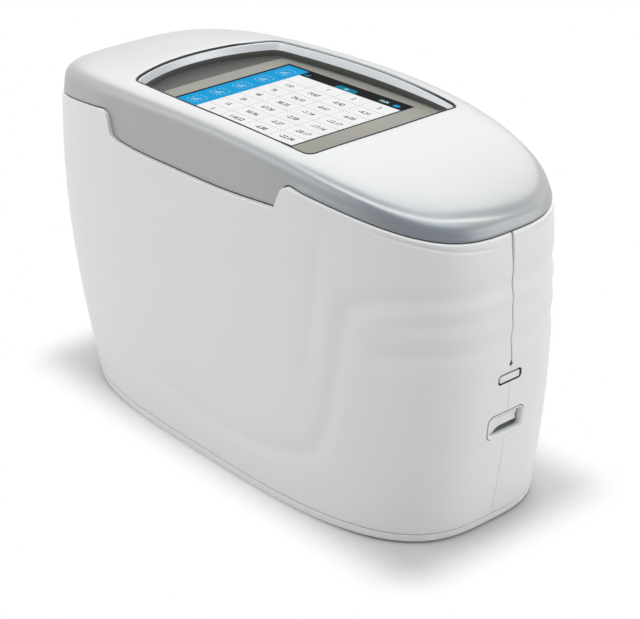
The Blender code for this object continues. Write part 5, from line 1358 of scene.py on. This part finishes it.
# %% [markdown]
# ## The picture on the screen
# The display lies under the glass. Its picture is built from very thin plates just over the glass, each
# giving off its own colour as the pixels do: a blue strip of buttons, a black bar with the time, and a white
# table of readings with dashed rules. All words are left out; the table shows plain numbers.
# %% Screen plates
LIT_TAIL, LIT_NOSE, LIT_HALF = -32.7, 34.6, 26.4
STRIP_LONG, BAR_WIDE, PLATE = 11.7, 4.7, 0.02
EDGE_TAIL, EDGE_NOSE, EDGE_NEAR, EDGE_FAR = 1.4, 0.8, 1.2, 1.3
TAB_TAIL, TAB_NOSE, TAB_TALL, TAB_CORNERS = -1.5, 9.5, 3.0, (1.4, 1.4, 0.1, 0.1)
page_tail, page_top = LIT_TAIL + STRIP_LONG, LIT_HALF - BAR_WIDE


def plate(low, high, layer, corner=0.05):
    """A thin plate over the glass from one corner to the other; higher layers lie on lower ones."""
    half = ((high[0] - low[0]) / 2, (high[1] - low[1]) / 2)
    outline = rounded(*half, corner, ((low[0] + high[0]) / 2, (low[1] + high[1]) / 2), 5)
    foot = GLASS_HEIGHT + LIFT
    return body_of_loops("plate", [at_z(outline, z) for z in (foot, foot + PLATE * layer)])


def screen_piece(name, meshes, material):
    return piece_from_mesh(name, joined(name, meshes), material, "housing")


screen_piece("screen_border", [plate((LIT_TAIL - EDGE_TAIL, -LIT_HALF - EDGE_NEAR),
                                     (LIT_NOSE + EDGE_NOSE, LIT_HALF + EDGE_FAR), 1, 0.4)], BAR)
screen_piece("screen_page", [plate((page_tail, -LIT_HALF), (LIT_NOSE, page_top), 2)], PAGE)
screen_piece("screen_strip", [plate((LIT_TAIL, -LIT_HALF), (page_tail, LIT_HALF), 2)], STRIP)
screen_piece("screen_tab", [plate((TAB_TAIL, page_top), (TAB_NOSE, page_top + TAB_TALL), 3, TAB_CORNERS)], TAB)
battery = [plate((28.9, page_top + 1.3), (31.6, page_top + 3.0), 3, 0.3),
           plate((31.6, page_top + 1.8), (32.0, page_top + 2.5), 3, 0.1)]
badge = [plate((page_tail + 1.2 + k, page_top + 1.2), (page_tail + 1.7 + k, page_top + 1.8 + 0.5 * k), 3, 0.1)
         for k in (0, 1, 2)]
screen_piece("screen_marks", battery + badge, STRIP)
print("lit area", round(LIT_NOSE - LIT_TAIL, 1), "x", 2 * LIT_HALF)

# %% [markdown]
# ## The table's dashed rules
# One dash is enough: the grid tree sets it out along every rule. Rules along the screen and rules across it
# are two runs of the same tree, with the steps of the dashes and of the rules exchanged.
# %% Dashed rules
COLUMNS, ROWS = 4, 7
DASH, DASH_STEP, RULE = 0.9, 1.5, 0.2
cell_long, cell_wide = (LIT_NOSE - page_tail) / COLUMNS, (page_top + LIT_HALF) / ROWS


def moved(mesh, x, y):
    mesh.transform(Matrix.Translation((x * MM, y * MM, 0)))
    return mesh


def at_origin(mesh):
    """Take back the shift to the middle of the joint, so that a part can be set out from its own centre."""
    return moved(mesh, -MIDDLE, 0)


def dashes(long, wide, **layout):
    """Dashes of a length and width, set out by the grid tree over the middle of the page."""
    dash = at_origin(plate((-long / 2, -wide / 2), (long / 2, wide / 2), 3))
    return moved(grown(GRID, dash, finish=RULES, **layout), (page_tail + LIT_NOSE) / 2 + MIDDLE,
                 (page_top - LIT_HALF) / 2)


along = dashes(DASH, RULE, columns=int((LIT_NOSE - page_tail) / DASH_STEP), rows=ROWS - 1,
               column_step=DASH_STEP * MM, row_step=cell_wide * MM)
across = dashes(RULE, DASH, columns=COLUMNS - 1, rows=int((page_top + LIT_HALF) / DASH_STEP),
                column_step=cell_long * MM, row_step=DASH_STEP * MM)
screen_piece("table_rules", [along, across], RULES)
print("faces of the dashes", len(along.polygons) + len(across.polygons))

# %% [markdown]
# ## The buttons on the blue strip
# Each button is a dashed square round a small drawing of three bars on a line. One button is drawn and the
# grid tree repeats it down the strip.
# %% Buttons
BUTTONS, BUTTON_STEP, BUTTON_HALF = 5, 10.1, 2.9
TICKS, TICK_LONG, TICK_WIDE = (-1.9, 0.0, 1.9), 0.55, 0.09
marks = []
for level, edge in ((True, BUTTON_HALF), (False, BUTTON_HALF), (True, -BUTTON_HALF), (False, -BUTTON_HALF)):
    for tick in TICKS:
        x, y = (tick, edge) if level else (edge, tick)
        long, wide = (TICK_LONG, TICK_WIDE) if level else (TICK_WIDE, TICK_LONG)
        marks.append(plate((x - long, y - wide), (x + long, y + wide), 3))
marks += [plate((-1.3 + k, -1.2), (-0.85 + k, -0.4 + 0.7 * k), 3, 0.1) for k in range(3)]
marks.append(plate((-1.6, -1.7), (1.6, -1.45), 3, 0.08))
buttons = grown(GRID, at_origin(joined("button", marks)), columns=1, rows=BUTTONS, column_step=0.0,
                row_step=BUTTON_STEP * MM, finish=ICONS)
screen_piece("screen_buttons", [moved(buttons, (LIT_TAIL + page_tail) / 2 + MIDDLE, 0)], ICONS)
print("buttons", BUTTONS, "with", len(marks), "marks each")

# %% [markdown]
# ## The numbers
# Blender's text objects turn a number into a flat shape, which gets a hair of thickness and is kept as a
# mesh. The readings are made up: one row for each angle of the instrument, under a row of column numbers.
# %% Numbers
READINGS = (("", "1", "2", "3"), ("110", "19.87", "-0.42", "-4.31"), ("75", "24.10", "-0.61", "-6.05"),
            ("45", "38.35", "-1.14", "-12.17"), ("25", "67.30", "-2.58", "-17.16"),
            ("15", "93.96", "-5.27", "-20.17"), ("5", "118.52", "-6.80", "-22.04"))
DIGIT_SIZE, DIGIT_THICK, DIGIT_BOLD, DIGIT_MERGE = 2.9, 0.01, 0.05, 0.000001


def number(text, size, x, y):
    """A number as a very thin mesh, centred on a point of the screen."""
    curve = bpy.data.curves.new("number", "FONT")
    curve.body, curve.size, curve.resolution_u = text, size * MM, 2
    curve.align_x, curve.align_y = "CENTER", "CENTER"
    curve.extrude, curve.offset = DIGIT_THICK * MM, DIGIT_BOLD * MM
    item = placed("number", curve)
    mesh = plain_mesh(item)
    bpy.data.objects.remove(item)
    mesh.transform(Matrix.Translation(((x + MIDDLE) * MM, y * MM, (GLASS_HEIGHT + LIFT + 3 * PLATE) * MM)))
    tidy(mesh, DIGIT_MERGE)
    return mesh


digits = [number(text, DIGIT_SIZE, page_tail + (column + 0.5) * cell_long, page_top - (row + 0.5) * cell_wide)
          for row, line in enumerate(READINGS) for column, text in enumerate(line) if text]
screen_piece("table_numbers", digits, DIGITS)
screen_piece("bar_numbers", [number("10:24", 2.2, 23.5, page_top + 2.3), number("45", 1.9, 4, page_top + 1.5)],
             ICONS)
print("numbers", len(digits))

# %% [markdown]
# ## The case screws
# The four case screws sit in wells in the base plate. One screw is turned, with the ridges of its thread, and
# gets a cross slot; the point tree sets it at the four wells with a random turn.
# %% Case screws
SCREW_FOOT, SCREW_HEAD_R, SCREW_HEAD, SHANK_R, SCREW_TOP = 0.9, 2.55, 1.4, 1.25, 10.0
THREADS, THREAD_STEP, THREAD_RISE, THREAD_DEPTH = 14, 0.5, 0.2, 0.25
SLOT_LONG, SLOT_WIDE, SLOT_EDGE = 1.5, 0.32, 0.1
SLOT_STEPS = ((-1.0, 1.1), (0.0, 1.0), (0.9, 0.45))
profile = [(1.8, 0.0), (2.3, 0.06), (SCREW_HEAD_R - 0.05, 0.3), (SCREW_HEAD_R, 0.5), (SCREW_HEAD_R, SCREW_HEAD),
           (SHANK_R, SCREW_HEAD)]
for k in range(THREADS):
    height = SCREW_HEAD + THREAD_STEP + THREAD_STEP * k
    profile += [(SHANK_R - THREAD_DEPTH, height), (SHANK_R, height + THREAD_RISE)]
profile += [(SHANK_R - 0.3, SCREW_TOP - SCREW_FOOT - 0.05)]
screw = turned("screw", profile, (-MIDDLE, 0, 0), sides=40)
for long, wide in ((SLOT_LONG, SLOT_WIDE), (SLOT_WIDE, SLOT_LONG)):
    slot = [at_z(rounded(long * k, wide * k, SLOT_EDGE), z) - (MIDDLE, 0, 0) for z, k in SLOT_STEPS]
    screw = boolean(screw, body_of_loops("slot", slot))
part = placed("screw_part", screw)
wells = bpy.data.meshes.new("wells")
wells.from_pydata([((x + MIDDLE) * MM, y * MM, SCREW_FOOT * MM) for x, y in screws], [], [])
case_screws = grown(POINTS, wells, part=part, seed=7, finish=STEEL)
bpy.data.objects.remove(part)
piece_from_mesh("case_screws_turned", case_screws, STEEL, "housing", 35, CASE_SCREWS)
print("case screw faces", len(case_screws.polygons))

# %% [markdown]
# ## Springs of the contact pins
# Each contact pin is pushed out by a coil spring of round wire, held between the collar of the pin and the
# lid of its guide. A spring follows a helix, so a third node tree winds it: a flat spiral is lifted along its
# length by a curve that is slow at both ends, where the turns of a real spring lie close together, and a
# small circle is swept along it.
# %% Springs of the contact pins
SPRING_TURNS, SPRING_WIRE, PIN_TRAVEL = 6, 0.5, 0.8
# Shares of the height after the first turn and before the last one.
SPRING_CLOSE, SPRING_FAR = 0.07, 0.93
TURN_POINTS, WIRE_POINTS = 24, 10


def spring_tree():
    """Winds a spring of a given number of turns, radius, height and wire."""
    tree, given = new_tree("wind_spring", (("Turns", "Float"), ("Radius", "Float"), ("Height", "Float"),
                                           ("Wire radius", "Float"), ("Finish", "Material")))
    spiral = node(tree, "GeometryNodeCurveSpiral", Resolution=TURN_POINTS, Height=0, Rotations=given["Turns"],
                  Start_Radius=given["Radius"], End_Radius=given["Radius"])
    rise = node(tree, "ShaderNodeFloatCurve", Value=node(tree, "GeometryNodeSplineParameter").outputs["Factor"])
    points = rise.mapping.curves[0].points
    points[0].location, points[1].location = (0, 0), (1, 1)
    points.new(1 / SPRING_TURNS, SPRING_CLOSE)
    points.new(1 - 1 / SPRING_TURNS, SPRING_FAR)
    rise.mapping.update()
    lift = combined(tree, "MULTIPLY", rise.outputs["Value"], given["Height"])
    offset = node(tree, "ShaderNodeCombineXYZ", Z=lift.outputs[0])
    helix = node(tree, "GeometryNodeSetPosition", Geometry=spiral.outputs["Curve"], Offset=offset.outputs[0])
    wire = node(tree, "GeometryNodeCurvePrimitiveCircle", Resolution=WIRE_POINTS, Radius=given["Wire radius"])
    swept = node(tree, "GeometryNodeCurveToMesh", Curve=helix.outputs["Geometry"],
                 Profile_Curve=wire.outputs["Curve"], Fill_Caps=True)
    return end_tree(tree, given, swept.outputs["Mesh"])


WIND = spring_tree()
for pin in ("1", "2", "3"):
    name = "contact_spring_" + pin
    low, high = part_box(name)
    centre_x, centre_y = (low.x + high.x) / 2, (low.y + high.y) / 2
    spring = grown(WIND, bpy.data.meshes.new("start"), turns=float(SPRING_TURNS), wire_radius=SPRING_WIRE * MM / 2,
                   radius=(high.x - low.x - SPRING_WIRE * MM) / 2, height=high.z - low.z - SPRING_WIRE * MM,
                   finish=STEEL)
    spring.transform(Matrix.Translation((centre_x, centre_y, low.z + SPRING_WIRE * MM / 2)))
    wound = piece_from_mesh(name + "_wound", spring, STEEL, "housing", 60, (name,))
    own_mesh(wound)
print("spring length mm", round((high.z - low.z) / MM, 2), "faces", len(spring.polygons))

# %% [markdown]
# ## The foot pads
# The pads are soft rubber bars that lie in pockets of the base plate. Cross ribs, set out by the grid tree,
# keep the instrument from sliding on a glossy sample.
# %% Foot pads
RIB, RIB_STEP, RIB_DEPTH, RIB_COUNT, RIB_SHORT = 0.7, 1.6, 0.35, 15, 0.6
BODY_STEPS = ((-0.5, RIB_DEPTH), (-0.1, RIB_DEPTH + 0.1), (0.0, RIB_DEPTH + 0.3), (0.0, PAD_THICK))
RIB_STEPS = ((-0.2, 0.0), (0.0, 0.12), (0.0, RIB_DEPTH + 0.3))
for count, place in enumerate(pads, start=1):
    body = body_of_loops("pad", upright_loops(lambda grow: stadium(grow, place), BODY_STEPS))
    rib = at_origin(body_of_loops("rib", upright_loops(
        lambda grow: rounded(RIB / 2 + grow, PAD_WIDE - RIB_SHORT + grow, 0.2), RIB_STEPS)))
    ribs = grown(GRID, rib, columns=RIB_COUNT, rows=1, column_step=RIB_STEP * MM, row_step=0.0, finish=RUBBER)
    name = "foot_pad_" + str(count)
    piece_from_mesh(name + "_moulded", joined(name, [body, moved(ribs, place[0] + MIDDLE, place[1])]), RUBBER,
                    "housing", 35, (name,))
print("ribs on each pad", RIB_COUNT)

# %% [markdown]
# ## Finishes for the inner parts
# The parts inside the housing keep their solid shapes. Their plain colours are changed for the finishes
# above through their material slots.
# %% Dress the inner parts
DRESSED = {"white_housing": WHITE, "silver_paint": SILVER, "bezel_glass": BEZEL, "display_face": BAR,
           "dark_rubber": RUBBER, "black_plastic": BLACK, "steel": STEEL, "anodised_aluminium": ALUMINIUM,
           "circuit_board": BOARD, "optical_glass": LENS, "battery_wrap": CELL, "flat_cable": FILM,
           "key_grey": KEY_GREY}
for name in NODES:
    for place in bpy.data.objects[name].material_slots:
        place.material = DRESSED[place.material.name]
print("dressed nodes", len(NODES))

# %% [markdown]
# ## Sizes
# The boxes round the solids and round the finished pieces are gathered.
# %% Gather the sizes
boxes = {"cad": CAD_BOUNDS, "visual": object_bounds()}
